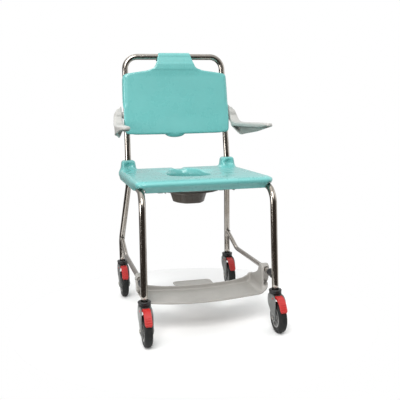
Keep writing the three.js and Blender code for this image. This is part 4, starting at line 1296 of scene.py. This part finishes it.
def world_glow(nodes, place, direction, width, power):
    """A soft bright patch of the surroundings round a direction."""
    toward = Vector(direction).normalized()
    dot = nodes.add("VectorMath", operation="DOT_PRODUCT")
    nodes.put(dot.inputs[0], place)
    dot.inputs[1].default_value = tuple(toward)
    return nodes.ramp(dot.outputs["Value"], 0.0, power, math.cos(width), 1.0)


def surroundings():
    """A dim warm room with pale patches for the steel to reflect, and white where nothing is."""
    world = bpy.data.worlds.new("Surroundings")
    bpy.context.scene.world = world
    world.use_nodes = True
    nodes = Nodes(world.node_tree)
    out = world.node_tree.nodes["World Output"]
    room = world.node_tree.nodes["Background"]
    place = nodes.add("TexCoord").outputs["Generated"]
    up = nodes.add("SeparateXYZ", Vector=place).outputs["Z"]
    glow = nodes.ramp(up, 0.0, 0.75, 0.1, 0.9)
    for direction, width, power in GLOWS:
        glow = nodes.math("ADD", glow, world_glow(nodes, place, direction, width, power))
    base = nodes.mix(nodes.ramp(up, 0.0, 1.0, -0.2, 0.7), (0.055, 0.045, 0.038), (0.16, 0.155, 0.15))
    pale = nodes.mix(1.0, (0.98, 0.99, 1.0), glow, "MULTIPLY")
    nodes.put(room.inputs["Color"], nodes.mix(1.0, base, pale, "ADD"))
    white = nodes.add("Background", Strength=1.0)
    white.inputs["Color"].default_value = (1.0, 1.0, 1.0, 1.0)
    path = nodes.add("LightPath").outputs["Is Camera Ray"]
    mixed = nodes.add("MixShader")
    nodes.put(mixed.inputs[0], path)
    nodes.put(mixed.inputs[1], room.outputs[0])
    nodes.put(mixed.inputs[2], white.outputs[0])
    nodes.put(out.inputs["Surface"], mixed.outputs[0])


GLOWS = [
    ((0.93, 0.36, -0.10), 1.05, 1.0),  # right, and behind on the right
    ((-0.55, 0.83, -0.05), 0.45, 0.5),  # behind, left
    ((0.24, 0.95, 0.20), 0.7, 0.45),  # behind: the sheen on the seat's top
]


def sun(name, direction, strength, angle_deg):
    light = bpy.data.lights.new(name, "SUN")
    light.energy = strength
    light.angle = math.radians(angle_deg)
    lamp = bpy.data.objects.new(name, light)
    lamp.rotation_mode = "QUATERNION"
    lamp.rotation_quaternion = Vector(direction).to_track_quat("-Z", "Y")
    bpy.context.scene.collection.objects.link(lamp)


def lights():
    sun("Overhead_Light", (0.12, -0.12, -1.0), 0.35, 50.0)
    softbox("Key_Light", (-0.8, -2.4, 2.9), (0.0, 0.0, 0.6), (1.8, 1.8), 92.0)
    softbox("Left_Light", (-3.0, -0.9, 0.85), (0.0, 0.1, 0.68), (1.2, 1.5), 42.0)
    softbox("Side_Light", (3.0, -0.6, 1.7), (0.0, 0.0, 0.4), (1.0, 2.2), 9.0)
    softbox("Back_Light", (-0.6, 3.0, 2.4), (0.0, 0.0, 0.5), (1.8, 1.4), 12.0)


CAMERA_PLACE = (-0.4870, BASE_Y - 2.0979, 0.7188)
CAMERA_AZIMUTH = -0.24434
CAMERA_PITCH = 0.14569
CAMERA_ROLL = -0.01732
CAMERA_LENS = 55.10


def camera():
    data = bpy.data.cameras.new("Camera")
    data.lens = CAMERA_LENS
    data.sensor_width = 36.0
    data.clip_start, data.clip_end = 0.05, 60.0
    az, pitch, roll = CAMERA_AZIMUTH, CAMERA_PITCH, CAMERA_ROLL
    ahead = Vector((-math.sin(az) * math.cos(pitch), math.cos(az) * math.cos(pitch), -math.sin(pitch)))
    level = ahead.cross(Vector((0.0, 0.0, 1.0))).normalized()
    over = level.cross(ahead)
    right = level * math.cos(roll) + over * math.sin(roll)
    up = over * math.cos(roll) - level * math.sin(roll)
    turn = Matrix((right, up, -ahead)).transposed().to_4x4()
    eye = bpy.data.objects.new("Camera", data)
    eye.matrix_world = Matrix.Translation(Vector(CAMERA_PLACE)) @ turn
    bpy.context.scene.collection.objects.link(eye)
    bpy.context.scene.camera = eye


# ---- Everything ---------------------------------------------------------------------------------

camera()
lights()
surroundings()
stage_floor()
back_frame()
front_legs()
cross_tubes()
footrest_rails()
welds()
rail_clamps()
seat()
backrest()
arms()
arm_hubs()
footrest()
for hand, side in (("right", 1), ("left", -1)):
    node = "footrest_screw_" + hand
    screw_head("Footrest_Screw_" + hand.title(), node, "footrest", 5.0, 226.9, EAR_Y, FOOT_RAIL_Z, side)
pan()
castors()
carried_over()

view = bpy.context.scene.view_settings
view.view_transform = "Standard"
view.look = "None"
view.exposure = 0.0
